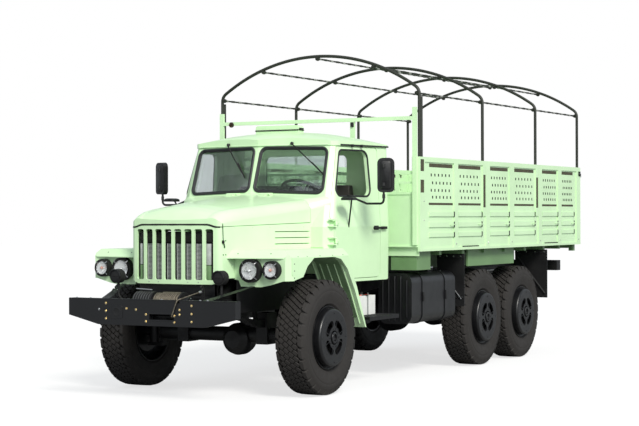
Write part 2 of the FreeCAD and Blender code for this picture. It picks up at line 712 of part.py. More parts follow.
def engine_sides():
    """Fixed panels below the bonnet's edges, down to the lamp panels, with three louvre slits each."""
    band = nose_prism(0, 1100, 1700).cut(nose_prism(SHEET, 1090, 1710))
    slope = (SEAM_REAR - SEAM_FRONT) / (COWL_Y - NOSE_Y)
    front_top = SEAM_FRONT + slope * (NOSE_SEAM - NOSE_Y) - SEAM_GAP
    step = LAMP_Y + FENDER_T
    side = plate_x([(NOSE_SEAM, 1130), (step, 1130), (step, 1300), (COWL_Y, 1300), (COWL_Y, SEAM_REAR - SEAM_GAP),
                    (NOSE_SEAM, front_top)], 300, 900)
    panel = band.common(side)
    for z in (1440, 1498, 1557):
        panel = panel.cut(box(300, 900, *LOUVRE_Y, z - 4, z + 4))
    return both(panel)


HOOD_SECTIONS = (           # y, edge z, side top z, shoulder x share, shoulder z, crown z
    (-970.0, 1612.0, 1616.0, 0.74, 1634.0, 1646.0),
    (-948.0, 1612.0, 1620.0, 0.74, 1655.0, 1676.0),
    (-925.0, 1612.0, 1625.0, 0.74, 1682.0, 1708.0),
    (-895.0, 1612.0, 1632.0, 0.74, 1708.0, 1742.0),
    (-850.0, 1613.0, 1641.0, 0.74, 1733.0, 1775.0),
    (-780.0, 1615.0, 1652.0, 0.74, 1755.0, 1800.0),
    (-640.0, 1618.0, 1668.0, 0.75, 1775.0, 1822.0),
    (COWL_Y, SEAM_REAR, 1776.0, 0.80, 1872.0, 1922.0),
)


def hood_section(y, half, edge, side, shoulder, top, crown):
    """Arched cross-section of the bonnet, closed along its edge."""
    def at(x, z):
        return V(x, y, z)
    knee_x = half - 0.293 * (half - shoulder)
    knee_z = side + 0.707 * (top - side)
    edges = [
        Part.LineSegment(at(-half, edge), at(-half, side)).toShape(),
        Part.Arc(at(-half, side), at(-knee_x, knee_z), at(-shoulder, top)).toShape(),
        Part.Arc(at(-shoulder, top), at(0, crown), at(shoulder, top)).toShape(),
        Part.Arc(at(shoulder, top), at(knee_x, knee_z), at(half, side)).toShape(),
        Part.LineSegment(at(half, side), at(half, edge)).toShape(),
        Part.LineSegment(at(half, edge), at(-half, edge)).toShape(),
    ]
    return Part.Wire(edges)


def side_half(y):
    """Half width of the bonnet at a station."""
    slope = (COWL_HALF - NOSE_HALF) / (COWL_Y - NOSE_SIDE_Y)
    return NOSE_HALF + slope * (y - NOSE_SIDE_Y)


def hood_form(inset):
    """The bonnet's outer form, or its inside when inset."""
    wires = []
    for y, edge, side, reach, top, crown in HOOD_SECTIONS:
        half = side_half(y) - inset
        drop = 60.0 if inset else 0.0
        wires.append(hood_section(y, half, edge - drop, side, half * reach, top - inset, crown - inset))
    return Part.makeLoft(wires, True, True).common(nose_prism(inset, 1500, 2000))


def hood():
    """Bonnet lid, hinged at the cowl."""
    shell = hood_form(0).cut(hood_form(SHEET))
    y, z = HOOD_AXIS
    pieces = [shell.cut(box(-900, 900, COWL_Y - SEAM_GAP, 2000, 1400, 2100))]
    for x in HOOD_HINGES:
        pieces.append(box(x - 38, x + 38, y - 60, y, z - 40, z - 4))
        pieces.append(rod(HINGE_R, (x - 38, y, z), (x + 38, y, z)))
    body = fuse(pieces)
    for x in HOOD_HINGES:
        body = body.cut(rod(PIN_R + RUNNING, (x - 50, y, z), (x + 50, y, z)))
        for lug in (x - 67, x + 41):
            body = body.cut(rod(HINGE_R + 5, (lug, y, z), (lug + 26, y, z)))
    body = body.cut(box(-900, 900, COWL_Y - SEAM_GAP, COWL_Y + 40, 1500, z - HINGE_R - 1))
    below = plate_y([(-560, 1400)] + lip(NOSE_TOP + SEAM_GAP + 3) + [(560, 1400)], NOSE_Y - 60, NOSE_SEAM + 12)
    return body.cut(below)


ARCH = (                    # y, z of the wheel arch's edge, front to rear
    (-437.0, 1140.0), (-350.0, 1240.0), (-226.0, 1313.0), (160.0, 1317.0), (313.0, 1290.0),
    (458.0, 1180.0), (600.0, 985.0), (816.0, 600.0),
)


def fender_crease(grow):
    """What is sloped away from the wing's front and outer edges, above its lip."""
    low, high, run = FENDER_LIP + 8, FENDER_TOP + 1, CREASE
    front = plate_x([(-60, high), (run + grow, high), (grow, low), (-60, low)], -300, 900)
    front.rotate(V(0, 0, 0), V(0, 0, 1), math.degrees(math.atan2(125.0, 667.0)))
    front.translate(V(400, LAMP_Y - 130, 0))
    side = plate_y([(FENDER_X - run - grow, high), (FENDER_X + 60, high), (FENDER_X + 60, low),
                    (FENDER_X - grow, low)], -1000, 600)
    return front.fuse(side)


def fender():
    """Left wing: top, lamp panel, outer skirt over the wheel and the guard behind it."""
    x_out, t = FENDER_X, FENDER_T
    plan = [(400, LAMP_Y - 130), (x_out - 45, LAMP_Y - 5, 60), (x_out, LAMP_Y + 75, 60), (x_out, 470),
            (400, 470)]
    top = plate_z(plan, FENDER_LIP, FENDER_TOP)
    crease = fender_crease(0)
    inner = [(380, LAMP_Y - 110), (x_out - 45 - t, LAMP_Y + t - 5, 50), (x_out - t, LAMP_Y + 80, 50),
             (x_out - t, 480), (380, 480)]
    top = top.cut(plate_z(inner, FENDER_LIP - 10, FENDER_TOP - t).cut(fender_crease(t * 1.4)))
    skirt_side = [(-640, FENDER_LIP + 30), (-640, 1170), (-600, 1112), (-437, 1140)] + \
        [point for point in ARCH[1:]] + [(816 + 22, 600), (640, 1010), (505, 1215), (470, 1300), (470, FENDER_LIP + 30)]
    skirt = plate_x(skirt_side, x_out - t, x_out)
    panel = plate_y([(470, FENDER_TOP - t), (x_out - 30, FENDER_TOP - t), (x_out - 60, 1108), (900, 1066),
                     (812, LAMP_BOTTOM), (596, LAMP_BOTTOM + 4), (574, 1110), (470, 1130)], LAMP_Y, LAMP_Y + t)
    corner = plate_z([(x_out - 62, LAMP_Y), (x_out - 40, LAMP_Y), (x_out, -620), (x_out, -600), (x_out - t, -600),
                      (x_out - t - 6, -612), (x_out - 62, LAMP_Y + t)], 1108, FENDER_LIP + 30)
    guard_side = [(180, FENDER_TOP - t), (200, FENDER_TOP - t), (COWL_Y - 3, 1330), (COWL_Y - 3, 1290),
                  (600, 1010), (816 + 22, 600), (816, 600), (590, 985), (398, 1255), (330, 1290), (160, 1345)]
    guard = plate_x(guard_side, 560, x_out)
    body = fuse([top, skirt, panel, corner, guard]).cut(crease)
    body = body.cut(nose_prism(0, 900, 2000))
    body = body.cut(cab_block(0))
    return body


def lamp(x, z, radius, y, depth, lens):
    """Round lamp housing whose back stands on the plane y."""
    body = rod(radius, (x, y - depth, z), (x, y, z))
    return body.cut(rod(radius - 14, (x, y - depth - 1, z), (x, y - depth + lens, z)))


def headlamps():
    """Two lamps a side on the wings, and the two hooded blackout lamps on their stalks."""
    shapes = []
    for x, z, radius in (BIG_LAMP, SMALL_LAMP):
        shapes += both(lamp(x, z, radius, LAMP_Y, 62, 12))
    hooded = lamp(576, 1144, 66, -985, 75, 25)
    stalk = pipe([(576, -1010, 1090, 0), (576, -1010, 960, 60), (576 - 120, -1010, 850, 0)], 12)
    foot = box(RAIL_OUT, 470, -1050, -970, 820, 860)
    shapes += both(fuse([hooded, stalk, foot]))
    return shapes


# ---------------------------------------------------------------- cab
CAB_SECTIONS = (            # z, front centre y, corner (x, y), side front (x, y), side rear x, rear y
    (1050.0, 410.0, 860.0, 410.0, 935.0, 500.0, 990.0, 1620.0),
    (1600.0, 410.0, 860.0, 410.0, 940.0, 500.0, 1000.0, 1620.0),
    (1900.0, 440.0, 806.0, 548.0, 888.0, 614.0, 990.0, 1620.0),
    (2415.0, 612.0, 784.0, 714.0, 828.0, 764.0, 982.0, 1620.0),
)


def cab_wire(section, inset, z):
    """Plan outline of the cab at one height."""
    _, mid_y, corner_x, corner_y, side_x, side_y, rear_x, rear_y = section
    half = [
        (0.0, mid_y + inset),
        (corner_x - inset * 0.6, corner_y + inset, 30.0),
        (side_x - inset, side_y + inset * 0.5, 60.0),
        (rear_x - inset, rear_y - inset, 60.0),
    ]
    points = [half[0]] + half[1:] + [(-p[0],) + p[1:] for p in reversed(half[1:])]
    return outline(points, lambda a, b: V(a, b, z))


def cab_block(inset, low=None):
    """Cab below the drip rail as a solid, its toe-board cut away over the wheels."""
    wires = []
    for i, section in enumerate(CAB_SECTIONS):
        z = section[0]
        if low is not None and i == 0:
            z = low
        wires.append(cab_wire(section, inset, z))
    block = Part.makeLoft(wires, True, True)
    toe = plate_x([(COWL_Y - 60, 1400 + inset), (COWL_Y + inset * 0.75, 1400 + inset * 0.75),
                   (720 + inset * 0.75, 1050 + inset * 0.75), (720 + inset, 900), (COWL_Y - 60, 900)],
                  -1100, 1100)
    z0, y1, r = CAB_BOTTOM + inset, CAB_REAR - inset, HEEL
    heel = plate_x([(y1 + 50, z0 - 200), (y1 + 50, z0 + r), (y1, z0 + r), (y1, z0, r), (y1 - r, z0), (y1 - r, z0 - 200)],
                   -1100, 1100)
    return block.cut(toe).cut(heel)


HEEL = 90.0                 # rounding of the cab's lower rear edge
OVERHANG = 10.0             # of the roof over the walls
ROOF_SECTIONS = (           # y, crown z, edge z
    (570.0, 2462.0, 2416.0),
    (620.0, 2494.0, 2424.0),
    (700.0, 2524.0, 2430.0),
    (840.0, 2556.0, 2438.0),
    (1060.0, 2578.0, 2448.0),
    (1320.0, 2584.0, 2452.0),
    (1560.0, 2570.0, 2446.0),
    (1640.0, 2552.0, 2438.0),
)
ROOF_HALF = 1000.0


def roof_block(inset):
    """Crowned roof above the drip rail."""
    wires = []
    for y, crown, edge in ROOF_SECTIONS:
        w, e, c = ROOF_HALF, edge - inset, crown - inset
        def at(x, z, y=y):
            return V(x, y, z)
        wires.append(Part.Wire([
            Part.LineSegment(at(-w, DRIP - 120), at(-w, e - 40)).toShape(),
            Part.Arc(at(-w, e - 40), at(-w + 12, e - 12), at(-w + 40, e)).toShape(),
            Part.Arc(at(-w + 40, e), at(0, c), at(w - 40, e)).toShape(),
            Part.Arc(at(w - 40, e), at(w - 12, e - 12), at(w, e - 40)).toShape(),
            Part.LineSegment(at(w, e - 40), at(w, DRIP - 120)).toShape(),
            Part.LineSegment(at(w, DRIP - 120), at(-w, DRIP - 120)).toShape(),
        ]))
    arch = Part.makeLoft(wires, True, True)
    plan = Part.Face(cab_wire(CAB_SECTIONS[-1], inset - OVERHANG, DRIP))
    return arch.common(plan.extrude(V(0, 0, 300)))


def cowl():
    """Scuttle that carries the bonnet's line back to the windscreen."""
    _, _, side, share, shoulder, crown = HOOD_SECTIONS[-1]
    half = side_half(COWL_Y)
    front = hood_section(COWL_Y, half, 1500.0, side, half * share, shoulder, crown)
    rear = hood_section(COWL_Y + 150, 880.0, 1500.0, 1820.0, 800.0, 1908.0, 1938.0)
    form = Part.makeLoft([front, rear], True, True)
    y, z = HOOD_AXIS
    for x in HOOD_HINGES:
        form = form.cut(box(x - 46, x + 46, COWL_Y - 5, y + HINGE_R + 8, z - HINGE_R - 8, z + 40))
    return form


WINDSCREEN = ((34.0, 1962.0, 55.0), (768.0, 1936.0, 55.0), (752.0, 2385.0, 60.0), (44.0, 2398.0, 55.0))
REAR_WINDOW = ((-500.0, 2020.0, 60.0), (500.0, 2020.0, 60.0), (500.0, 2350.0, 60.0), (-500.0, 2350.0, 60.0))
DOOR_WINDOW = ((626.0, 1913.0, 50.0), (784.0, 2364.0, 60.0), (1226.0, 2366.0, 75.0), (1244.0, 1913.0, 75.0))
DOOR_IN = 790.0             # doors reach in no further than this
DOOR_AXIS = (958.0, 497.0)
DOOR_HINGES = (1460.0, 1640.0)
HINGE_R = 12.0
PIN_R = 6.0
HOOD_AXIS = (COWL_Y - SEAM_GAP / 2.0, HOOD_HINGE_Z + 10.0)
HOOD_HINGES = (-190.0, 190.0)
GATE_AXIS = (REAR_REACH - 16.0, BED_FLOOR - 6.0)
GATE_HINGES = (-800.0, 0.0, 800.0)


def door_pin(z):
    """Fixed pin of a left door hinge, held by a lug above and below the door's barrel."""
    x, y = DOOR_AXIS
    lugs = [box(x - 60, x, y - 60, y - 8, low, low + 12).fuse(rod(HINGE_R, (x, y, low), (x, y, low + 12)))
            for low in (z - 39, z + 27)]
    arm = [box(x - 60, x, y - 14, y, low, low + 12) for low in (z - 39, z + 27)]
    return fuse(lugs + arm + [rod(PIN_R, (x, y, z - 39), (x, y, z + 39))])


def hood_pins():
    """Fixed pins of the bonnet's hinges, on lugs that stand on the scuttle."""
    y, z = HOOD_AXIS
    pieces = []
    for x in HOOD_HINGES:
        for side in (x - 62, x + 46):
            pieces.append(box(side, side + 16, y, COWL_Y + 60, z - 40, z + HINGE_R))
            pieces.append(rod(HINGE_R, (side, y, z), (side + 16, y, z)))
        pieces.append(rod(PIN_R, (x - 62, y, z), (x + 62, y, z)))
    block = box(-900, 900, COWL_Y - 40, COWL_Y, z - 60, z - HINGE_R)
    return [fuse(pieces).cut(block)]




def door_side(grow):
    """Side outline of a door, grown by a clearance."""
    return [
        (DOOR_FRONT - grow, 1392.0 - grow), (DOOR_FRONT - grow, 1700.0), (590.0 - grow, 1900.0),
        (756.0 - grow, DRIP - 12.0 + grow),
        (DOOR_REAR + grow, DRIP - 12.0 + grow, 40.0), (DOOR_REAR + grow, DOOR_BOTTOM - grow, 60.0),
        (762.0 - grow, DOOR_BOTTOM - grow),
    ]


def cab_skin():
    """The cab's side walls alone, without floor or roof."""
    return cab_block(0).cut(cab_block(CAB_WALL, 1000.0))


def cab_shell():
    """Hollow cab: walls, floor, toe-board and roof, with its windows and doorways cut."""
    outer = fuse([cab_block(0), roof_block(0)])
    outer = outer.fuse(cowl()).removeSplitter()
    inner_low = cab_block(CAB_WALL, 1000.0).cut(box(-1100, 1100, 300, 1700, 900, CAB_FLOOR + CAB_WALL))
    inner_top = roof_block(CAB_WALL)
    shell = outer.cut(inner_low).cut(inner_top)
    shell = shell.cut(box(-800, 800, 300, 1700, 1000, CAB_FLOOR))
    for points in (WINDSCREEN, [(-p[0],) + p[1:] for p in reversed(WINDSCREEN)]):
        shell = shell.cut(plate_y(points, 350, 1000))
    shell = shell.cut(plate_y(REAR_WINDOW, 1500, 1700))
    inner_all = cab_block(CAB_WALL, 1000.0)
    doorway = plate_x(door_side(DOOR_GAP), DOOR_IN, 1150).cut(inner_all)
    shell = shell.cut(doorway).cut(flip(doorway))
    pins = [piece for z in DOOR_HINGES for piece in both(door_pin(z))]
    return fuse([shell] + pins + hood_pins())


def door():
    """Left door, as thick as the cab wall, with its window cut."""
    panel = cab_skin().common(plate_x(door_side(0), DOOR_IN, 1150))
    barrels = []
    for z in DOOR_HINGES:
        leaf = box(DOOR_AXIS[0] - 30, DOOR_AXIS[0], DOOR_AXIS[1] + 4, DOOR_AXIS[1] + 60, z - 22, z + 22)
        knuckle_ring = rod(HINGE_R, (*DOOR_AXIS, z - 22), (*DOOR_AXIS, z + 22))
        barrels += [leaf, knuckle_ring]
    body = fuse([panel.cut(plate_x(DOOR_WINDOW, DOOR_IN, 1150))] + barrels)
    for z in DOOR_HINGES:
        body = body.cut(rod(PIN_R + RUNNING, (*DOOR_AXIS, z - 30), (*DOOR_AXIS, z + 30)))
    return body


def glass_panes():
    """Two windscreen panes and the rear window, seated in the thickness of the wall."""
    layer = cab_block(GLASS_IN).cut(cab_block(GLASS_IN + GLASS_T))
    left = layer.common(plate_y(WINDSCREEN, 350, 1000))
    rear = layer.common(plate_y(REAR_WINDOW, 1500, 1700))
    return both(left) + [rear]


COLUMN = V(0, 0.57, 0.82).normalize()
WHEEL_HUB = V(340, 930, 1940)


def dashboard():
    """Instrument panel with the steering column."""
    panel = plate_x([(COWL_Y + CAB_WALL, 1640), (COWL_Y + CAB_WALL, 1800), (560, 1850, 20), (700, 1840, 30),
                     (720, 1640)], -DASH_HALF, DASH_HALF)
    panel = panel.common(cab_block(CAB_WALL, 1000.0))
    column = rod(32, WHEEL_HUB - COLUMN * 380, WHEEL_HUB - COLUMN * (21 + SEAT))
    return fuse([panel, column])


def steering_wheel():
    """Steering wheel with three spokes."""
    rim = Part.makeTorus(225, 15, WHEEL_HUB, COLUMN)
    hub = rod(42, WHEEL_HUB - COLUMN * 21, WHEEL_HUB + COLUMN * 12)
    across = V(1, 0, 0)
    spokes = []
    for angle in (0, 140, 220):
        turn = FreeCAD.Rotation(COLUMN, angle)
        ray = turn.multVec(V(0, -COLUMN.z, COLUMN.y) * -1.0)
        spokes.append(rod(10, WHEEL_HUB + ray * 30, WHEEL_HUB + ray * 222))
    return fuse([rim, hub] + spokes)


def seats():
    """Driver's seat and passenger bench on their boxes."""
    shapes = []
    for x0, x1 in ((100.0, 620.0), (-760.0, 20.0)):
        base = box(x0 + 30, x1 - 30, 980, 1420, CAB_FLOOR + CAB_WALL, 1460)
        cushion = box(x0, x1, 940, 1460, 1460, 1590)
        back = plate_x([(1390, 1590), (1500, 1590), (1540, 2060, 40), (1450, 2060, 40)], x0, x1)
        shapes.append(fuse([base, cushion, back]))
    return shapes


MIRROR_ARM = (1318.0, 822.0)           # x, y of the big mirror's upright
MIRROR_TURN = 25.0


def mirror_set():
    """Left mirror on its bent tube, and the look-down mirror on its stay."""
    x, y = MIRROR_ARM
    head = plate_y([(x - 62, 1943, 40), (x + 104, 1943, 40), (x + 104, 2280, 50), (x - 62, 2280, 50)],
                   y - 24, y + 26)
    head.rotate(V(x, y, 0), V(0, 0, 1), MIRROR_TURN)
    arm = pipe([(x, y, 1960, 0), (x, y, 1829, 40), (1130, y, 1829, 50), (880, y, 1925, 0)], 11)
    stay = pipe([(1050, 650, 1868, 0), (950, 772, 1596, 0)], 8)
    pad = plate_z([(985, 515, 40), (1115, 515, 40), (1115, 675, 40), (985, 675, 40)], 1862, 1884)
    block = cab_block(0)
    return [fuse([head, arm]).cut(block), fuse([pad, stay]).cut(block)]


def roof_vent():
    """Low ventilator on the roof."""
    lid = plate_y([(-235, 2520), (270, 2520), (270, 2643, 25), (-235, 2643, 25)], 950, 1070)
    return lid.cut(roof_block(0))


# ---------------------------------------------------------------- side gear
def fuel_tank():
    """Tank with rounded edges, its filler and the two brackets on the frame."""
    x0, x1, y0, y1, z0, z1 = TANK
    corners = [(x, z, TANK_CORNER) for x, z in ((x0, z0), (x1, z0), (x1, z1), (x0, z1))]
    body = plate_y(corners, y0, y1)
    cap = rod(42, (950, 2650, z1), (950, 2650, z1 + 34))
    shapes = [body, cap]
    wrapped = [(x + math.copysign(STRAP_T, x - (x0 + x1) / 2.0), z + math.copysign(STRAP_T, z - (z0 + z1) / 2.0),
                TANK_CORNER + STRAP_T) for x, z, _ in corners]
    for y in (2070, 2640):
        shapes.append(plate_y(wrapped, y - 22, y + 22).cut(body))
        shapes.append(plate_y([(RAIL_OUT, 880), (RAIL_OUT, 1080), (x0, 1080), (x0, 980)], y - 30, y + 30))
    return fuse(shapes)


def tool_box():
    """Locker on the right-hand side, opposite the fuel tank."""
    x0, x1 = TANK[0], TANK[1]
    body = box(-x1, -x0, 1950, 2850, 640, 1080)
    arms = [plate_y([(-RAIL_OUT, 880), (-RAIL_OUT, 1080), (-x0, 1080), (-x0, 980)], y - 30, y + 30)
            for y in (2150, 2650)]
    return fuse([body] + arms)


def air_tanks():
    """Two air reservoirs under the load bed, strapped inside the right-hand rail."""
    shapes = []
    for y0 in (2250.0, 5250.0):
        can = rod(110, (-240, y0, 800), (-240, y0 + 620, 800)) if y0 < 3000 else \
            rod(110, (-600, y0, 930), (-600, y0 + 620, 930))
        shapes.append(can)
    return shapes


def steps():
    """Tread plates below the doors on their frame brackets."""
    x0, x1 = STEP_X
    y0, y1 = STEP_Y
    z0, z1 = STEP_Z
    shapes = [box(x0, x1, y0, y1, z1 - 14, z1), box(x1 - 14, x1, y0, y1, z0, z1), box(x0, x0 + 14, y0, y1, z0, z1)]
    for y in (y0 + 110, y1 - 110):
        shapes.append(plate_y([(RAIL_OUT, 650), (x0, 650), (x1 - 14, z1 - 30), (x1 - 14, z1 - 14), (x0, z1 - 14),
                               (470, z1 - 14), (470, 960), (RAIL_OUT, 960)], y - 25, y + 25))
    return both(fuse(shapes))


def battery():
    """Pale battery case with two terminals and its hold-down bar, on the left step."""
    z = STEP_Z[1]
    case = box(700, 940, 1010, 1370, z, z + 195)
    posts = [rod(14, (820, y, z + 195), (820, y, z + 225)) for y in (1090, 1290)]
    return fuse([case] + posts)


def mudflaps():
    """Flaps ahead of and behind the rear wheels, hung from the bed's bearers."""
    shapes = []
    for y, x0, x1, low in ((3055.0, 860.0, 1190.0, 700.0), (5500.0, 800.0, 1225.0, 690.0)):
        shapes += both(box(x0, x1, y, y + 12, low, SILL_TOP))
    return shapes


# ---------------------------------------------------------------- load bed
BEARERS = (1895.0, 2450.0, 3060.0, 3670.0, 4280.0, 4890.0, 5505.0, 6050.0, 6560.0)
BAYS = (                    # y of each bay's ends, front to rear
    (2060.0, 2680.0), (2810.0, 3440.0), (3690.0, 4245.0), (4415.0, 5060.0), (5315.0, 5835.0), (5990.0, 6420.0),
)
POSTS = (                   # y of each post's edges
    (BED_FRONT, 1940.0), (2690.0, 2795.0), (3565.0, 3680.0), (4265.0, 4405.0), (5185.0, 5300.0),
    (5850.0, 5975.0), (6520.0, REAR_REACH),
)
RIBS = ((1700.0, 1750.0), (1585.0, 1640.0), (1480.0, 1527.0))
TOP_SLOT = (2222.0, 2262.0)
LOW_SLOT = (1820.0, 1845.0)
HOOP_WINDOW = (1800.0, 2170.0)


def bed_base():
    """Floor sheet on its bearers and the two long sills, with the valances below it."""
    sills = both(box(RAIL_OUT - RAIL_FLANGE, RAIL_OUT + 10, BED_FRONT + 40, RAIL_END, RAIL_TOP, SILL_TOP))
    bearers = [box(-1180, 1180, y - 30, y + 30, SILL_TOP, BED_Z) for y in BEARERS]
    floor = box(-1205, 1205, BED_FRONT + 50, 6605, BED_Z, BED_FLOOR)
    valance = fuse([box(1130, 1150, 3250, 4600, 1140, BED_Z), box(900, 1150, 4580, 4600, 1140, BED_Z)])
    corner = fuse([box(880, 1180, 1861, 1880, 1135, BED_Z), box(1160, 1180, 1861, 2200, 1135, BED_Z)])
    tail = box(1120, 1180, 6540, 6605, 1250, BED_Z)
    y, z = GATE_AXIS
    pins = []
    for x in GATE_HINGES:
        for side in (x - 68, x + 48):
            pins.append(box(side, side + 20, 6560, y, z - 9, z + 9))
            pins.append(rod(9, (side, y, z), (side + 20, y, z)))
        pins.append(rod(PIN_R, (x - 68, y, z), (x + 68, y, z)))
    return fuse(sills + bearers + [floor] + both(valance) + both(corner) + both(tail) + pins)


LEDGE = (1378.0, 1390.0)               # z of the headboard's foot flange
SHEET_TOP = 1950.0
MIDDLE_BAR = (2045.0, 2065.0)
TOP_BAR = (2145.0, 2170.0)
HEADER = (2712.0, 2750.0)


def headboard():
    """Front wall of the bed: plain sheet below, open bars above, and the header frame."""
    y0, y1 = BED_FRONT, BED_FRONT + 40
    half = half_inside()
    wall_in = BED_HALF - SIDE_PROUD - SIDE_T
    shapes = [
        box(-wall_in, wall_in, y0 + 26, y1, SILL_TOP, LEDGE[1]),
        box(-wall_in, wall_in, y0 - 10, y1, *LEDGE),
        box(-half, half, y0 + 8, y0 + 24, LEDGE[0], SHEET_TOP),
        box(-half, half, y0, y1, SHEET_TOP - 20, SHEET_TOP + 5),
        box(-half, half, y0, y1, *MIDDLE_BAR),
        box(-half, half, y0, y1, *TOP_BAR),
    ]
    for i in range(-5, 6):
        x = i * 195.0
        shapes.append(box(x - 20, x + 20, y0, y1 - 6, SHEET_TOP, TOP_BAR[1]))
    shapes += both(box(half - 40, half, y0, y1, LEDGE[0], BED_TOP))
    header = [box(-wall_in, wall_in, y0 - 26, y0, *HEADER)]
    header += both(box(half - 24, wall_in, y0 - 26, y0, 1400, HEADER[1] + 95))
    header += [box(430, 480, y0 - 26, y0, MIDDLE_BAR[0], HEADER[0] + 5)]
    return fuse(shapes + header)


HOLE = 30.0                 # side of a square air hole
HOLE_ROWS = (1904.0, 1977.0, 2056.0, 2140.0)
HOLE_COLUMNS = 6


def air_holes(x0, x1):
    """Rows of square holes in the upper part of every bay, every other row staggered."""
    holes = []
    for low, high in BAYS:
        pitch = (high - low - 70.0) / HOLE_COLUMNS
        for row, z in enumerate(HOLE_ROWS):
            for i in range(HOLE_COLUMNS):
                y = low + 35.0 + pitch * (i + (0.32 if row % 2 else 0.68))
                holes.append(box(x0, x1, y - HOLE / 2, y + HOLE / 2, z - HOLE / 2, z + HOLE / 2))
    return holes


def bed_side():
    """Left side wall with its posts, pressed ribs, long slots, air holes and hoop sockets."""
    outer = BED_HALF
    sheet_x = outer - SIDE_PROUD
    inner_x = sheet_x - SIDE_T
    y0, y1 = BED_FRONT, REAR_REACH
    sheet = box(inner_x, sheet_x, y0, y1, BED_Z, BED_TOP)
    shapes = [sheet, box(inner_x, outer, y0, y1, 2275, BED_TOP), box(inner_x, outer, y0, y1, BED_Z, BED_Z + 30)]
    for low, high in POSTS:
        shapes.append(box(inner_x, outer, low, high, BED_Z, BED_TOP))
    for low, high in BAYS:
        for z0, z1 in RIBS:
            shapes.append(box(inner_x, outer, low, high + 10, z0, z1))
    socket_in = HOOP_X - HOOP_R - SEAT - HOOP_SKIN
    for y in HOOP_Y:
        shapes.append(box(socket_in, outer, y - SOCKET_HALF, y + SOCKET_HALF, HOOP_FOOT - 60, BED_TOP))
    shapes.append(box(socket_in, outer, STAKE_Y - SOCKET_HALF, STAKE_Y + SOCKET_HALF, HOOP_FOOT - 60, BED_TOP))
    shapes.append(box(half_inside(), inner_x, y0, y0 + 6, 1390, BED_TOP))
    shapes.append(box(GATE_HALF + SEAM_GAP, inner_x, y1 - 35, y1, BED_Z, BED_TOP))
    wall = fuse(shapes)
    cuts = air_holes(inner_x - 5, outer + 5)
    for low, high in BAYS:
        cuts.append(box(inner_x - 5, outer + 5, low + 10, high - 10, *TOP_SLOT))
        cuts.append(box(inner_x - 5, outer + 5, low, high, *LOW_SLOT))
    for y in HOOP_Y + (STAKE_Y,):
        cuts.append(rod(HOOP_R + SEAT, (HOOP_X, y, HOOP_FOOT), (HOOP_X, y, BED_TOP + 5)))
    for y in HOOP_Y[1:3]:
        cuts.append(box(HOOP_X, outer + 5, y - 34, y + 34, *HOOP_WINDOW))
    for low, high in FRONT_WINDOWS:
        cuts.append(box(HOOP_X, outer + 5, HOOP_Y[0] - 26, STAKE_Y + 22, low, high))
    return wall.cut(Part.makeCompound(cuts))


FRONT_WINDOWS = ((1950.0, 2085.0), (2175.0, 2300.0))


def half_inside():
    """Half width of the headboard, clear of the front hoop's sockets."""
    return HOOP_X - HOOP_R - SEAT - HOOP_SKIN - 4.0


def bed_sides():
    """Both side walls."""
    return both(bed_side())


def tailgate():
    """Drop-down rear wall with its ribs."""
    y1 = REAR_REACH
    y0 = y1 - GATE_T
    low = BED_FLOOR + 10
    sheet = box(-GATE_HALF, GATE_HALF, y0 + 10, y0 + 24, low, BED_TOP)
    shapes = [sheet, box(-GATE_HALF, GATE_HALF, y0, y1, BED_TOP - 50, BED_TOP),
              box(-GATE_HALF, GATE_HALF, y0, y1, low, low + 45)]
    for i in range(7):
        x = -GATE_HALF + 50 + i * (2 * GATE_HALF - 100) / 6.0
        shapes.append(box(x - 50, x + 50, y0, y1, low, BED_TOP))
    for z0, z1 in RIBS:
        shapes.append(box(-GATE_HALF, GATE_HALF, y0 + 10, y1 - 8, z0, z1))
    y, z = GATE_AXIS
    for x in GATE_HINGES:
        shapes.append(box(x - 42, x + 42, y - 8, y + 8, z, low + 10))
        shapes.append(rod(HINGE_R, (x - 42, y, z), (x + 42, y, z)))
    gate = fuse(shapes)
    for x in GATE_HINGES:
        gate = gate.cut(rod(PIN_R + RUNNING, (x - 60, y, z), (x + 60, y, z)))
    return gate


def hoop(y):
    """Cover hoop: two legs, small corners and one long arc."""
    centre_z = HOOP_APEX - HOOP_ARC
    corner_x = HOOP_X - HOOP_CORNER
    reach = HOOP_ARC - HOOP_CORNER
    rise = math.sqrt(reach ** 2 - corner_x ** 2)
    corner_z = centre_z + rise
    lean = math.atan2(corner_x, rise)
    def arc_point(x, z, radius, angle):
        return V(x + radius * math.sin(angle), y, z + radius * math.cos(angle))
    half_turn = (math.pi / 2 + lean) / 2
    left_foot = V(HOOP_X, y, HOOP_FOOT)
    left_top = V(HOOP_X, y, corner_z)
    left_knee = arc_point(corner_x, corner_z, HOOP_CORNER, lean)
    right_knee = arc_point(-corner_x, corner_z, HOOP_CORNER, -lean)
    edges = [
        Part.LineSegment(left_foot, left_top).toShape(),
        Part.Arc(left_top, arc_point(corner_x, corner_z, HOOP_CORNER, half_turn), left_knee).toShape(),
        Part.Arc(left_knee, V(0, y, HOOP_APEX), right_knee).toShape(),
        Part.Arc(right_knee, arc_point(-corner_x, corner_z, HOOP_CORNER, -half_turn),
                 V(-HOOP_X, y, corner_z)).toShape(),
        Part.LineSegment(V(-HOOP_X, y, corner_z), V(-HOOP_X, y, HOOP_FOOT)).toShape(),
    ]
    path = Part.Wire(edges)
    circle = Part.makeCircle(HOOP_R, left_foot, V(0, 0, 1))
    return path.makePipeShell([Part.Wire([circle])], True, False)


def hoops():
    """The four cover hoops, and the stakes behind the front one's legs."""
    stake = rod(HOOP_R, (HOOP_X, STAKE_Y, HOOP_FOOT), (HOOP_X, STAKE_Y, SHOULDER_Z - 35))
    return [hoop(y) for y in HOOP_Y] + both(stake)


RAIL_ANGLES = (-19.5, 0.0, 19.5)
RAIL_R = 9.0
SHOULDER_Z = HOOP_APEX - 440.0


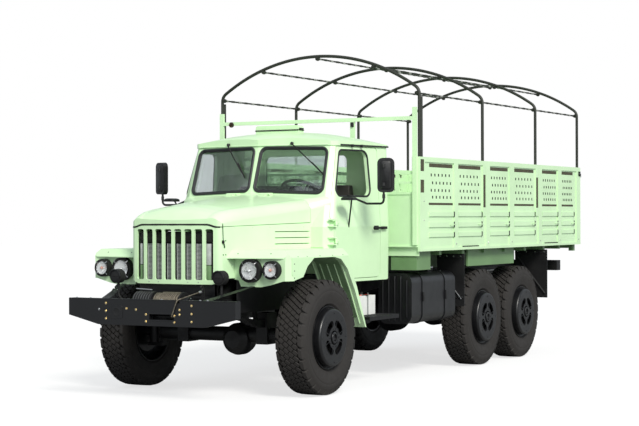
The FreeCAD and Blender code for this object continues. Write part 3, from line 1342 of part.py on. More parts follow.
def hoop_rails():
    """Long rails tied under the hoops, and one inside each shoulder."""
    centre_z = HOOP_APEX - HOOP_ARC
    radius = HOOP_ARC - HOOP_R - RAIL_R - SEAT
    places = [(radius * math.sin(math.radians(a)), centre_z + radius * math.cos(math.radians(a)))
              for a in RAIL_ANGLES]
    shoulder = HOOP_X - HOOP_R - RAIL_R - SEAT
    places += [(shoulder, SHOULDER_Z), (-shoulder, SHOULDER_Z)]
    return [rod(RAIL_R, (x, HOOP_Y[0] - 25, z), (x, HOOP_Y[3] + 25, z)) for x, z in places]


def rear_bar():
    """Rear under-run beam across the frame's end, with the tail lamps on it."""
    y0 = RAIL_END
    beam = box(-1030, 1030, y0, y0 + 130, 1000, 1130)
    beam = beam.cut(box(-112, 112, y0 - 5, y0 + 140, 1000 - 5, 1130 + 5))
    halves = [beam.Solids[0], beam.Solids[1]]
    return halves


# ---------------------------------------------------------------- output
def save(name, shapes):
    """Write one node, moved so that the origin is the truck's bottom centre."""
    shapes = shapes if isinstance(shapes, list) else [shapes]
    solids = [solid.copy() for shape in shapes for solid in shape.Solids]
    moved = []
    for solid in solids:
        solid.translate(V(0, -MIDDLE, 0))
        moved.append(solid)
    result = moved[0] if len(moved) == 1 else Part.makeCompound(moved)
    result.exportStep("parts/%s.step" % name)
    print("%-20s %2d solids %8.1f litres %s" % (name, len(moved), sum(s.Volume for s in moved) / 1e6,
                                              all(s.isValid() for s in moved)))


def main():
    """Build and write every node."""
    os.makedirs("parts", exist_ok=True)
    nodes = {
        "frame_rails": frame_rails, "cross_members": cross_members, "leaf_springs": leaf_springs,
        "front_axle": front_axle, "rear_axles": rear_axles, "track_rod": track_rod, "engine": engine,
        "gearbox": gearbox, "propshafts": propshafts, "radiator": radiator, "exhaust": exhaust,
        "front_bumper": front_bumper, "winch": lambda: [winch(), hook_post()], "winch_rope": winch_rope,
        "grille_shell": grille_shell, "engine_sides": engine_sides, "hood": hood,
        "lamps": headlamps, "cab_shell": cab_shell, "glass_panes": glass_panes, "dashboard": dashboard,
        "steering_wheel": steering_wheel, "seats": seats, "roof_vent": roof_vent, "fuel_tank": fuel_tank,
        "tool_box": tool_box, "steps": steps, "battery": battery, "mudflaps": mudflaps,
        "bed_base": bed_base, "headboard": headboard, "bed_sides": bed_sides, "tailgate": tailgate,
        "hoops": hoops, "hoop_rails": hoop_rails, "rear_bar": rear_bar,
    }
    for name, make in nodes.items():
        save(name, make())
    pairs = {"knuckle": knuckle, "fender": fender, "door": door, "mirrors": mirror_set}
    for name, make in pairs.items():
        left = make()
        left = left if isinstance(left, list) else [left]
        save(name + "_left", left)
        save(name + "_right", [flip(shape) for shape in left])
    tyre_shape, wheel_shape = tyre(), wheel()
    for name, y, on_left in WHEEL_PLACES:
        for kind, shape in (("tyre", tyre_shape), ("wheel", wheel_shape)):
            placed = shape.copy() if on_left else flip(shape)
            placed.translate(V(0, y, 0))
            save("%s_%s" % (kind, name), placed)


main()
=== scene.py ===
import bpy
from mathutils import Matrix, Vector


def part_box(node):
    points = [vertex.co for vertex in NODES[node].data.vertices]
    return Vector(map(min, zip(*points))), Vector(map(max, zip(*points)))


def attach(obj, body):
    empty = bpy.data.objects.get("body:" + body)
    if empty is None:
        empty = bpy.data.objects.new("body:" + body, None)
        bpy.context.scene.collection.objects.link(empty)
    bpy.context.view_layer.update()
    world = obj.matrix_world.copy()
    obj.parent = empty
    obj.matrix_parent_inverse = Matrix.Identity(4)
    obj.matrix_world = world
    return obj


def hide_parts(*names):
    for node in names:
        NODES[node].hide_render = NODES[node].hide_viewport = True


bl_info = {
    "name": "Cargo truck dressing",
    "version": (1, 0, 0),
    "blender": (4, 5, 0),
    "location": "3D View > Sidebar > Truck",
    "description": "Dresses the packed truck with finishes, tyres, lamps, seals, fittings and a studio stage",
    "category": "Object",
}

import math

import bmesh
import bpy
from mathutils import Matrix, Vector
from mathutils.bvhtree import BVHTree

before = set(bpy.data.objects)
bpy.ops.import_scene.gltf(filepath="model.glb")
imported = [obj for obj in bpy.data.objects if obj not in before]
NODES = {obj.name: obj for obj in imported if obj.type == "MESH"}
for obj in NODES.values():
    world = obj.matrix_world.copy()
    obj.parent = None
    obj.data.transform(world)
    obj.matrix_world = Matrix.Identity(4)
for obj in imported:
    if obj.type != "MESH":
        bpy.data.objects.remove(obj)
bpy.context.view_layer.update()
SIDES = (("left", 1.0), ("right", -1.0))
AXLE_NAMES = ("front", "middle", "rear")
FRONT, BACK, UP = Vector((0, -1, 0)), Vector((0, 1, 0)), Vector((0, 0, 1))
POINT_R = 1e-5              # radius that closes a turned form at its axis


def centre_of(node):
    low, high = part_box(node)
    return (low + high) / 2.0


WHEELS = {(a, s): centre_of("wheel_%s_%s" % (a, s)) for a in AXLE_NAMES for s, _ in SIDES}
AXLE_Y = WHEELS["front", "left"].y
WHEEL_X = centre_of("tyre_front_left").x


def at(x, y, z):
    """Point given from the front axle on the ground, in the row frame."""
    return Vector((x, AXLE_Y + y, z))


# ---------------------------------------------------------------- forms
def rectangle(a0, b0, a1, b1, third, upper=None):
    """Corners (a, b, third) of a rectangle: a radius for rounded, or a height."""
    upper = upper or third
    return [(a0, b0, third), (a1, b0, third), (a1, b1, upper), (a0, b1, upper)]


def rounded(points, steps=6):
    """Closed outline whose corners (a, b, radius) are rounded by arcs."""
    out = []
    for i, (x, y, r) in enumerate(points):
        p = Vector((x, y))
        a = (Vector(points[i - 1][:2]) - p).normalized()
        b = (Vector(points[(i + 1) % len(points)][:2]) - p).normalized()
        half = a.angle(b) / 2.0
        reach = r / math.tan(half)
        centre = p + (a + b).normalized() * (r / math.sin(half))
        start, end = p + a * reach - centre, p + b * reach - centre
        turn = start.angle_signed(end)
        for k in range(steps + 1):
            out.append(centre + Matrix.Rotation(-turn * k / steps, 2) @ start)
    return out


def grown(outline, amount):
    """Outline moved outwards by an amount."""
    if not amount:
        return outline
    area = sum(a.x * b.y - b.x * a.y for a, b in zip(outline, outline[1:] + outline[:1]))
    sign = 1.0 if area > 0 else -1.0
    out = []
    for i, p in enumerate(outline):
        d = outline[(i + 1) % len(outline)] - outline[i - 1]
        out.append(p + Vector((d.y, -d.x)).normalized() * amount * sign)
    return out


def basis(axis):
    """Two unit vectors square to an axis and to each other."""
    axis = axis.normalized()
    side = UP if abs(axis.z) < 0.9 else BACK
    u = axis.cross(side).normalized()
    return u, axis.cross(u).normalized()


def circle(centre, u, v, radius, sides):
    """Points round a centre, in the plane of two unit vectors."""
    return [centre + (u * math.cos(a) + v * math.sin(a)) * radius
            for a in (2 * math.pi * k / sides for k in range(sides))]


class Form:
    """A mesh in the making, with its finishes."""

    def __init__(self):
        self.bm = bmesh.new()
        self.names = []

    def finish_of(self, name):
        if name not in self.names:
            self.names.append(name)
        return self.names.index(name)

    def loops(self, rings, finish, closed=False, capped=True):
        """Skin over rings of as many points each."""
        k = self.finish_of(finish)
        made = [[self.bm.verts.new(p) for p in ring] for ring in rings]
        following = made[1:] + made[:1] if closed else made[1:]
        n = len(made[0])
        for a, b in zip(made, following):
            for i in range(n):
                j = (i + 1) % n
                self.bm.faces.new((a[i], a[j], b[j], b[i])).material_index = k
        if capped and not closed:
            self.bm.faces.new(made[0][::-1]).material_index = k
            self.bm.faces.new(made[-1]).material_index = k

    def box(self, low, high, finish, bevel=0.0, origin=(0, 0, 0)):
        """Block between two opposite corners, given from an origin."""
        k = self.finish_of(finish)
        low, high = Vector(origin) + Vector(low), Vector(origin) + Vector(high)
        made = bmesh.ops.create_cube(self.bm, size=1.0)["verts"]
        for v in made:
            v.co = Vector(low[i] + (v.co[i] + 0.5) * (high[i] - low[i]) for i in range(3))
        for f in {f for v in made for f in v.link_faces}:
            f.material_index = k
        if bevel > 0.0:
            edges = list({e for v in made for e in v.link_edges})
            cut = bmesh.ops.bevel(self.bm, geom=edges, offset=bevel, segments=2, profile=0.5, affect="EDGES")
            for f in cut["faces"]:
                f.material_index = k

    def side_box(self, s, low, high, finish, bevel=0.0, origin=(0, 0, 0)):
        """Block on the left side, or its mirror image on the right."""
        if s < 0:
            low, high = (-high[0], *low[1:]), (-low[0], *high[1:])
        self.box(low, high, finish, bevel, origin)

    def prism(self, outline, place, low, high, finish, bevel=0.0):
        """Outline (a, b) carried from low to high; place(a, b, c) gives the point."""
        levels = [(low, 0.0), (high, 0.0)]
        if bevel > 0.0:
            levels = [(low, -bevel), (low + bevel, 0.0), (high - bevel, 0.0), (high, -bevel)]
        self.loops([[place(p.x, p.y, c) for p in grown(outline, inset)] for c, inset in levels], finish)

    def tube(self, points, radius, finish, sides=10, closed=False):
        """Round tube along points."""
        points = [Vector(p) for p in points]
        n = len(points)
        if closed:
            tangents = [(points[(i + 1) % n] - points[i - 1]).normalized() for i in range(n)]
        else:
            tangents = [(points[min(i + 1, n - 1)] - points[max(i - 1, 0)]).normalized() for i in range(n)]
        u, _ = basis(tangents[0])
        rings = []
        for p, t in zip(points, tangents):
            u = (u - t * u.dot(t)).normalized()
            rings.append(circle(p, u, t.cross(u), radius, sides))
        self.loops(rings, finish, closed=closed)

    def rod(self, start, end, radius, finish, sides=16, tip=None):
        """Straight rod, tapered where its tip's radius is given."""
        u, v = basis(end - start)
        self.loops([circle(start, u, v, radius, sides), circle(end, u, v, tip or radius, sides)], finish)

    def lathe(self, profile, origin, axis, finish, sides=48, closed=False, capped=True):
        """Turned form: profile of (distance along the axis, radius)."""
        axis = Vector(axis).normalized()
        u, v = basis(axis)
        rings = [circle(origin + axis * d, u, v, max(r, POINT_R), sides) for d, r in profile]
        self.loops(rings, finish, closed, capped)

    def bolt(self, place, normal, radius, finish="zinc_gold"):
        """Hexagon head on its washer."""
        normal = Vector(normal).normalized()
        height = radius * 0.75
        self.rod(place, place + normal * height * 0.25, radius * 1.35, finish, 14)
        self.rod(place + normal * height * 0.25, place + normal * height, radius, finish, 6, radius * 0.93)

    def rivet(self, place, normal, radius, finish):
        """Low domed head."""
        self.lathe([(0.0, radius), (radius * 0.25, radius * 0.9), (radius * 0.45, radius * 0.55),
                    (radius * 0.5, 0.0)], place, normal, finish, 10)

    def rivets(self, skin, starts, direction, finish, radius=None):
        """Rivets where rays from the starts meet a skin."""
        for start in starts:
            self.rivet(*cast(skin, start, direction), radius or sizes().rivet_radius, finish)

    def piece(self, name, body, slot, angle=35.0, origin=(0, 0, 0)):
        """The finished object, riding on a body; its slot is not used."""
        mesh = bpy.data.meshes.new(name)
        bmesh.ops.recalc_face_normals(self.bm, faces=self.bm.faces)
        self.bm.to_mesh(mesh)
        self.bm.free()
        for f in self.names:
            mesh.materials.append(finish(f))
        mesh.shade_smooth()
        mesh.set_sharp_from_angle(angle=math.radians(angle))
        return placed(bpy.data.objects.new(name, mesh), body, origin)


def placed(obj, body, origin=(0, 0, 0)):
    """Put an object in the scene, on its body."""
    bpy.context.scene.collection.objects.link(obj)
    obj.location = origin
    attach(obj, body)
    return obj


def skin_of(*nodes):
    """Ray target over the surfaces of CAD nodes."""
    points, faces = [], []
    for node in nodes:
        mesh = NODES[node].data
        start = len(points)
        points += [v.co.copy() for v in mesh.vertices]
        faces += [[start + i for i in p.vertices] for p in mesh.polygons]
    return BVHTree.FromPolygons(points, faces)


def cast(tree, origin, direction):
    """Point and normal where a ray meets a surface."""
    place, normal, _, _ = tree.ray_cast(Vector(origin), Vector(direction).normalized())
    if place is None:
        raise RuntimeError("no surface from %s along %s" % (tuple(origin), tuple(direction)))
    return place, normal


def line_on(tree, starts, direction, lift):
    """The points of a line thrown onto a surface, leaving out those that miss it."""
    met = [tree.ray_cast(start, direction) for start in starts]
    return [place + normal * lift for place, normal, _, _ in met if place is not None]


# ---------------------------------------------------------------- finishes
# colour, second colour, share of the second, roughness, roughness spread, metallic,
# scale of the mottle, bump scale, bump strength
FINISHES = {
    "mint_paint": ((0.66, 0.92, 0.56), (0.60, 0.87, 0.50), 0.5, 0.36, 0.08, 0.0, 1.6, 420.0, 0.015),
    "chassis_black": ((0.0025, 0.0025, 0.003), (0.006, 0.006, 0.006), 0.45, 0.55, 0.12, 0.0, 7.0, 240.0,
                      0.05),
    "satin_black": ((0.0028, 0.003, 0.004), (0.005, 0.0055, 0.007), 0.4, 0.42, 0.08, 0.0, 4.0, 380.0, 0.02),
    "tyre_rubber": ((0.022, 0.019, 0.017), (0.036, 0.031, 0.028), 0.5, 0.72, 0.1, 0.0, 9.0, 300.0, 0.12),
    "seal_rubber": ((0.012, 0.013, 0.015), (0.020, 0.021, 0.023), 0.4, 0.55, 0.08, 0.0, 30.0, 500.0, 0.05),
    "tube_olive": ((0.022, 0.025, 0.017), (0.048, 0.048, 0.031), 0.5, 0.5, 0.1, 0.0, 9.0, 300.0, 0.05),
    "cast_grey": ((0.10, 0.105, 0.105), (0.055, 0.055, 0.052), 0.55, 0.6, 0.12, 0.4, 8.0, 160.0, 0.12),
    "zinc_gold": ((0.92, 0.76, 0.44), (0.78, 0.60, 0.30), 0.5, 0.34, 0.1, 1.0, 60.0, 400.0, 0.04),
    "bright_steel": ((0.62, 0.63, 0.64), (0.42, 0.42, 0.42), 0.5, 0.3, 0.1, 1.0, 40.0, 500.0, 0.03),
    "chrome": ((0.86, 0.87, 0.88), (0.74, 0.75, 0.77), 0.3, 0.08, 0.05, 1.0, 30.0, 200.0, 0.01),
    "reflector": ((0.88, 0.89, 0.89), (0.80, 0.81, 0.82), 0.4, 0.30, 0.06, 0.45, 24.0, 90.0, 0.25),
    "bulb_pink": ((0.80, 0.42, 0.34), (0.72, 0.34, 0.27), 0.4, 0.35, 0.06, 0.0, 40.0, 200.0, 0.02),
    "wire_rope": ((0.25, 0.22, 0.17), (0.10, 0.09, 0.07), 0.6, 0.5, 0.1, 0.8, 60.0, 700.0, 0.1),
    "fin_alloy": ((0.66, 0.67, 0.67), (0.42, 0.43, 0.44), 0.55, 0.45, 0.1, 0.1, 18.0, 300.0, 0.05),
    "trim_plastic": ((0.008, 0.008, 0.009), (0.016, 0.016, 0.016), 0.4, 0.55, 0.08, 0.0, 20.0, 900.0, 0.1),
    "mirror_shell": ((0.003, 0.003, 0.0035), (0.006, 0.006, 0.0065), 0.4, 0.42, 0.06, 0.0, 12.0, 800.0, 0.06),
    "seat_hide": ((0.030, 0.026, 0.022), (0.055, 0.046, 0.038), 0.45, 0.5, 0.1, 0.0, 12.0, 260.0, 0.3),
    "case_white": ((0.82, 0.83, 0.80), (0.70, 0.71, 0.68), 0.4, 0.4, 0.08, 0.0, 9.0, 500.0, 0.03),
    "cap_red": ((0.75, 0.06, 0.03), (0.55, 0.04, 0.02), 0.4, 0.4, 0.08, 0.0, 30.0, 500.0, 0.04),
    # darker green for the bed's underframe: painted shade under the bed
    "under_green": ((0.13, 0.24, 0.10), (0.19, 0.33, 0.15), 0.5, 0.45, 0.1, 0.0, 2.0, 300.0, 0.02),
    # darker copy of the body green: painted shade
    "shade_green": ((0.16, 0.27, 0.13), (0.22, 0.36, 0.18), 0.5, 0.5, 0.1, 0.0, 2.5, 300.0, 0.03),
    # dark olive: painted shade seen through the bed's slots and hoop windows
    "rope_olive": ((0.050, 0.046, 0.026), (0.090, 0.082, 0.045), 0.5, 0.7, 0.1, 0.0, 12.0, 400.0, 0.1),
    # black for black parts, and painted shade where it fills holes, gaps and recesses
    "void_black": ((0.004, 0.004, 0.004), (0.007, 0.007, 0.007), 0.4, 0.8, 0.1, 0.0, 20.0, 300.0, 0.04),
    "dial_white": ((0.75, 0.75, 0.72), (0.66, 0.66, 0.63), 0.3, 0.5, 0.08, 0.0, 20.0, 300.0, 0.02),
    "flap_rubber": ((0.0025, 0.0025, 0.003), (0.006, 0.006, 0.006), 0.5, 0.62, 0.1, 0.0, 5.0, 160.0, 0.1),
    "linen_tie": ((0.42, 0.43, 0.40), (0.10, 0.10, 0.09), 0.6, 0.8, 0.1, 0.0, 40.0, 500.0, 0.2),
}
EXTRAS = {
    "mint_paint": {"Coat Weight": 0.35, "Coat Roughness": 0.12},
    "satin_black": {"Coat Weight": 0.2, "Coat Roughness": 0.25},
    "seat_hide": {"Sheen Weight": 0.1},
}
PAINTED = {"mint_paint": "body_colour", "satin_black": "bumper_colour", "tyre_rubber": "tyre_colour",
           "tube_olive": "hoop_colour"}
SECOND_SHARE = 0.88         # a chosen colour's second shade
# colour, roughness, refraction, share of the surface that isn't see-through at once
CLEAR = {
    "pane_glass": ((0.66, 0.75, 0.75), 0.03, 1.46, 0.70),
    "lens_glass": ((0.92, 0.95, 0.95), 0.06, 1.45, 0.55),
    "lens_amber": ((0.95, 0.36, 0.06), 0.12, 1.45, 0.9),
    "lens_red": ((0.75, 0.03, 0.02), 0.12, 1.45, 0.9),
}
SILVER = ((0.0, (0.82, 0.86, 0.88)), (1.0, (0.90, 0.93, 0.94)))
BUMP_DEPTH = 0.002
MADE = {}


def wired(tree, kind, values, links):
    """Node in a tree, with socket values and links into it."""
    made = tree.nodes.new("ShaderNode" + kind)
    for socket, value in values.items():
        made.inputs[socket].default_value = value
    for socket, source in links.items():
        tree.links.new(source, made.inputs[socket])
    return made


class Shading:
    """A material in the making, mapped from object space."""

    def __init__(self, name):
        self.material = bpy.data.materials.new(name)
        self.material.use_nodes = True
        self.tree = self.material.node_tree
        self.shader = self.tree.nodes["Principled BSDF"]
        self.place = self.tree.nodes.new("ShaderNodeTexCoord").outputs["Object"]

    def node(self, kind, values, **links):
        return wired(self.tree, kind, values, links)

    def noise(self, **values):
        return self.node("TexNoise", values, Vector=self.place).outputs["Fac"]

    def colour(self, source, stops):
        ramp = self.node("ValToRGB", {}, Fac=source)
        for element, (position, colour) in zip(ramp.color_ramp.elements, stops):
            element.position = position
            element.color = (*colour, 1.0)
        self.tree.links.new(ramp.outputs["Color"], self.shader.inputs["Base Color"])

    def roughness(self, source, low, high, **values):
        level = self.node("MapRange", {"To Min": low, "To Max": high, **values}, Value=source)
        self.tree.links.new(level.outputs["Result"], self.shader.inputs["Roughness"])

    def bump(self, source, strength):
        bump = self.node("Bump", {"Strength": strength, "Distance": BUMP_DEPTH}, Height=source)
        self.tree.links.new(bump.outputs["Normal"], self.shader.inputs["Normal"])

    def done(self, values):
        for socket, value in values.items():
            self.shader.inputs[socket].default_value = value
        return self.material


def solid_finish(name):
    """Mottled colour, uneven gloss and fine grain."""
    colour, second, share, rough, spread, metal, scale, grain, strength = FINISHES[name]
    if name in PAINTED:
        colour = tuple(getattr(bpy.context.scene.truck_finish, PAINTED[name]))
        second = tuple(c * SECOND_SHARE for c in colour)
    shading = Shading(name)
    mottle = shading.noise(Scale=scale, Detail=5.0, Roughness=0.6)
    shading.colour(mottle, ((0.5 - 0.3 * share, colour), (0.5 + 0.5 * share, second)))
    shading.roughness(mottle, rough - spread, rough + spread, **{"From Min": 0.3, "From Max": 0.7})
    shading.bump(shading.noise(Scale=grain, Detail=2.0), strength)
    return shading.done({"Metallic": metal, **EXTRAS.get(name, {})})


def clear_finish(name):
    """Glass with a faint haze, or a lens with flutes."""
    colour, rough, ior, alpha = CLEAR[name]
    shading = Shading(name)
    haze = shading.noise(Scale=6.0)
    shading.roughness(haze, rough * 0.6, rough * 1.6)
    shading.colour(haze, ((0.0, tuple(c * 0.9 for c in colour)), (1.0, colour)))
    if name != "pane_glass":
        flutes = shading.node("TexWave", {"Scale": 28.0}, Vector=shading.place)
        flutes.bands_direction = "X"
        shading.bump(flutes.outputs["Fac"], 0.5)
    return shading.done({"IOR": ior, "Transmission Weight": 1.0, "Alpha": alpha})


def mirror_finish(name):
    """Silvered glass with a trace of dust."""
    shading = Shading(name)
    dust = shading.noise(Scale=14.0)
    shading.roughness(dust, 0.01, 0.07)
    shading.colour(dust, SILVER)
    return shading.done({"Metallic": 1.0})


def finish(name):
    """The material of that finish, made once."""
    if name not in MADE:
        make = clear_finish if name in CLEAR else mirror_finish if name == "silvered" else solid_finish
        MADE[name] = make(name)
    return MADE[name]


NODE_FINISH = {
    "mint_paint": "cab_shell door_left door_right hood grille_shell engine_sides fender_left fender_right "
                  "bed_sides headboard tailgate roof_vent",
    # the bed's underframe is the body green, darkened here as painted shade
    "under_green": "bed_base",
    "chassis_black": "frame_rails cross_members leaf_springs front_axle rear_axles track_rod knuckle_left "
                     "knuckle_right exhaust propshafts winch steps tool_box rear_bar",
    "void_black": "lamps",
    "satin_black": "front_bumper fuel_tank " + " ".join("wheel_%s_%s" % k for k in WHEELS),
    "cast_grey": "engine gearbox radiator",
    "tube_olive": "hoops hoop_rails",
    "pane_glass": "glass_panes",
    "trim_plastic": "dashboard steering_wheel",
    "mirror_shell": "mirrors_left mirrors_right",
    "flap_rubber": "mudflaps",
    "case_white": "battery",
    "wire_rope": "winch_rope",
    "seat_hide": "seats",
    "tyre_rubber": " ".join("tyre_%s_%s" % k for k in WHEELS),
}


# ---------------------------------------------------------------- settings
def colour_prop(name, text, source):
    return bpy.props.FloatVectorProperty(name=name, description=text, default=FINISHES[source][0], size=3,
                                         min=0.0, max=1.0, subtype="COLOR")


def length_prop(name, text, default):
    return bpy.props.FloatProperty(name=name, description=text, default=default, min=0.0, unit="LENGTH",
                                   subtype="DISTANCE")


class TruckFinish(bpy.types.PropertyGroup):
    """Colours that a user would change."""

    body_colour: colour_prop("Body", "Paint of the cab, bonnet, wings and load bed", "mint_paint")
    bumper_colour: colour_prop("Bumper and wheels", "Satin paint of the bumper, wheels and tank",
                               "satin_black")
    tyre_colour: colour_prop("Tyres", "Rubber of the tyres", "tyre_rubber")
    hoop_colour: colour_prop("Hoops", "Paint of the cover hoops", "tube_olive")


class TruckSizes(bpy.types.PropertyGroup):
    """Sizes of the added pieces."""

    tread_blocks: bpy.props.IntProperty(name="Tread blocks", description="Shoulder blocks around one tyre",
                                        default=30, min=12, max=60)
    seal_radius: length_prop("Seal radius", "Half width of the window rubbers", 0.012)
    bolt_radius: length_prop("Bolt radius", "Half width of a bumper bolt's head", 0.0085)
    rope_radius: length_prop("Rope radius", "Half thickness of the winch rope", 0.006)
    rivet_radius: length_prop("Rivet radius", "Half width of a panel rivet's head", 0.006)


def sizes():
    return bpy.context.scene.truck_sizes


# ---------------------------------------------------------------- pieces
class TRUCK_OT_finishes(bpy.types.Operator):
    """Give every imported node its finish"""

    bl_idname = "truck.finishes"
    bl_label = "Finishes"

    def execute(self, context):
        chosen = {node: name for name, nodes in NODE_FINISH.items() for node in nodes.split()}
        for node, obj in NODES.items():
            material = finish(chosen[node])
            obj.data.materials.clear()
            obj.data.materials.append(material)
        return {"FINISHED"}


TYRE_PROFILE = (            # distance from the wheel's plane, radius: bead to tread, one half
    (0.112, 0.3010), (0.120, 0.3060), (0.132, 0.3180), (0.139, 0.3260), (0.1395, 0.3330), (0.146, 0.3560),
    (0.154, 0.3900), (0.1582, 0.4250), (0.1586, 0.4400), (0.1560, 0.4450), (0.1580, 0.4560), (0.1545, 0.4780),
    (0.1490, 0.4960), (0.1440, 0.5060), (0.1360, 0.5200), (0.1200, 0.5270), (0.060, 0.5290), (0.0, 0.5295),
)
BEAD = [(0.11, 0.3006), (-0.11, 0.3006)]
SLANT = math.radians(38.0)  # the tread's bars against the wheel's plane of turning
TREAD_TOP = 0.5505
TREAD_FOOT = 0.526
ROW_FROM, ROW_WIDE, ROWS = -0.0720, 0.0480, 4
BLOCK_LONG, BLOCK_WIDE = 0.0275, 0.0185        # half sizes along and across a bar
BLOCK_TAPER, BLOCK_EDGE = 0.09, 0.0025
LUG = (                     # distance from the plane, half length, lean, top radius, foot's distance and radius
    (0.1020, 0.36, 0.00, 0.5490, 0.1005, 0.524), (0.1200, 0.39, 0.26, 0.5480, 0.1200, 0.522),
    (0.1370, 0.38, 0.38, 0.5430, 0.1500, 0.500),
)


def wheel_body(axle, side):
    return "road_wheel_%s_%s" % (axle, side)


def add_block(form, ring):
    """Tread block from a ring of (distance, angle, top radius, foot distance, foot radius)."""
    cx = sum(p[0] for p in ring) / len(ring)
    ca = sum(p[1] for p in ring) / len(ring)

    def place(d, angle, r):
        return Vector((d, r * math.sin(angle), r * math.cos(angle)))
    levels = [[place(fd, a, fr) for d, a, r, fd, fr in ring],
              [place(d, a, r - BLOCK_EDGE) for d, a, r, fd, fr in ring],
              [place(d + (cx - d) * BLOCK_TAPER, a + (ca - a) * BLOCK_TAPER, r) for d, a, r, fd, fr in ring]]
    form.loops(levels, "tyre_rubber", capped=False)
    top = form.bm.faces.new([form.bm.verts.new(p) for p in levels[-1]])
    top.material_index = form.finish_of("tyre_rubber")


def tyre_form(blocks):
    """Carcass with moulded rings, diagonal rows of small blocks and long shoulder lugs."""
    form = Form()
    profile = [(-d, r) for d, r in TYRE_PROFILE] + [(d, r) for d, r in reversed(TYRE_PROFILE[:-1])]
    form.lathe(profile + BEAD, Vector(), (1, 0, 0), "tyre_rubber", 120, closed=True)
    pitch = 2 * math.pi / blocks
    for i in range(2 * blocks):
        for row in range(ROWS):
            middle_d = ROW_FROM + row * ROW_WIDE
            middle = i * pitch / 2 - math.tan(SLANT) * middle_d / TREAD_TOP
            ring = []
            for u, v in ((-1, -1), (1, -1), (1, 1), (-1, 1)):
                d = middle_d + u * BLOCK_LONG * math.cos(SLANT) + v * BLOCK_WIDE * math.sin(SLANT)
                run = -u * BLOCK_LONG * math.sin(SLANT) + v * BLOCK_WIDE * math.cos(SLANT)
                ring.append((d, middle + run / TREAD_TOP, TREAD_TOP - 0.16 * d * d, d, TREAD_FOOT))
            add_block(form, ring)
    for i in range(blocks):
        for side in (1.0, -1.0):
            middle = (i + 0.25) * pitch - side * math.tan(SLANT) * LUG[0][0] / TREAD_TOP
            ring = []
            for end, rows in ((-1, LUG), (1, LUG[::-1])):
                for d, half, lean, r, fd, fr in rows:
                    ring.append((side * d, middle + (end * half - side * lean * 0.5) * pitch, r, side * fd,
                                 fr))
            add_block(form, ring)
    return form


class TRUCK_OT_tyres(bpy.types.Operator):
    """Six cross-country tyres with diagonal rows of blocks and open shoulder lugs"""

    bl_idname = "truck.tyres"
    bl_label = "Tyres"

    def execute(self, context):
        first = None
        for (axle, side), place in WHEELS.items():
            name = "tyre_detail_%s_%s" % (axle, side)
            where = Vector((math.copysign(WHEEL_X, place.x), place.y, place.z))
            if first is None:
                obj = tyre_form(sizes().tread_blocks).piece(name, wheel_body(axle, side), "tyre", 30.0, where)
                first = obj.data
            else:
                obj = bpy.data.objects.new(name, first)
                if side == "right":
                    obj.rotation_euler = (0.0, 0.0, math.pi)
                placed(obj, wheel_body(axle, side), where)
            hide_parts("tyre_%s_%s" % (axle, side))
        return {"FINISHED"}


HOLES = 4                   # hand holes round the disc
HOLE_EDGE = ((0.174, range(-26, 27, 4)), (0.104, range(26, -27,
                                                       -4)))      # radius, turns of a hand hole's lip
NUTS, NUT_CIRCLE = 10, 0.086
HUB_CAP = ((0.0, 0.056), (0.034, 0.056), (0.040, 0.050), (0.040, 0.036), (0.026, 0.033), (0.026, 0.0))
VALVE = ((0.287, 0.085), (0.290, 0.066), (0.293, 0.052))     # radius, depth


class TRUCK_OT_wheel_fittings(bpy.types.Operator):
    """Nuts, lips round the hand holes, hub cap and valve of each wheel"""

    bl_idname = "truck.wheel_fittings"
    bl_label = "Wheel fittings"

    def execute(self, context):
        for (axle, side), place in WHEELS.items():
            out = 1.0 if side == "left" else -1.0
            form = Form()
            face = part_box("wheel_%s_%s" % (axle, side))[1 if out > 0 else 0].x
            def spot(r, turn, deep=0.0):
                a = math.radians(turn)
                return Vector((face - out * deep, place.y + r * math.sin(a), place.z + r * math.cos(a)))
            for i in range(HOLES):
                middle = 45 + 90 * i
                # dark plug in each small round hole: painted shade
                form.rod(spot(0.212, middle, 0.010), spot(0.212, middle, -0.0004), 0.0075, "void_black", 14)
                form.bolt(spot(0.232, middle + 45), (out, 0, 0), 0.006, "satin_black")
                lip = [spot(r, middle + t) for r, turns in HOLE_EDGE for t in turns]
                form.tube(lip, 0.0032, "satin_black", 6, closed=True)
            for i in range(NUTS):
                form.bolt(spot(NUT_CIRCLE, 18 + 360 / NUTS * i, 0.006), (out, 0, 0), 0.008, "satin_black")
            form.lathe([(out * d, r) for d, r in HUB_CAP], spot(0.0, 0, 0.030), (1, 0, 0), "satin_black", 28)
            form.tube([spot(r, 62, deep) for r, deep in VALVE], 0.0045, "bright_steel", 8)
            form.piece("wheel_fittings_%s_%s" % (axle, side), wheel_body(axle, side), "black_paint")
        return {"FINISHED"}


# ---------------------------------------------------------------- front end
BUMPER_BOLTS = (            # x, z on the bumper's face
    (-0.492, 0.904), (-0.492, 0.832), (-0.492, 0.762), (-0.260, 0.859), (-0.153, 0.852), (-0.042, 0.809),
    (-0.042, 0.747), (0.269, 0.804), (0.269, 0.745), (0.326, 0.859), (0.326, 0.817), (0.456, 0.899),
    (0.456, 0.826), (0.456, 0.754),
)
BUMPER_FACE = -1.326
BUMPER_TOP = 0.945
FAIRLEAD = (-0.010, 0.270, 0.757, 0.820)       # x from, x to, z from, z to


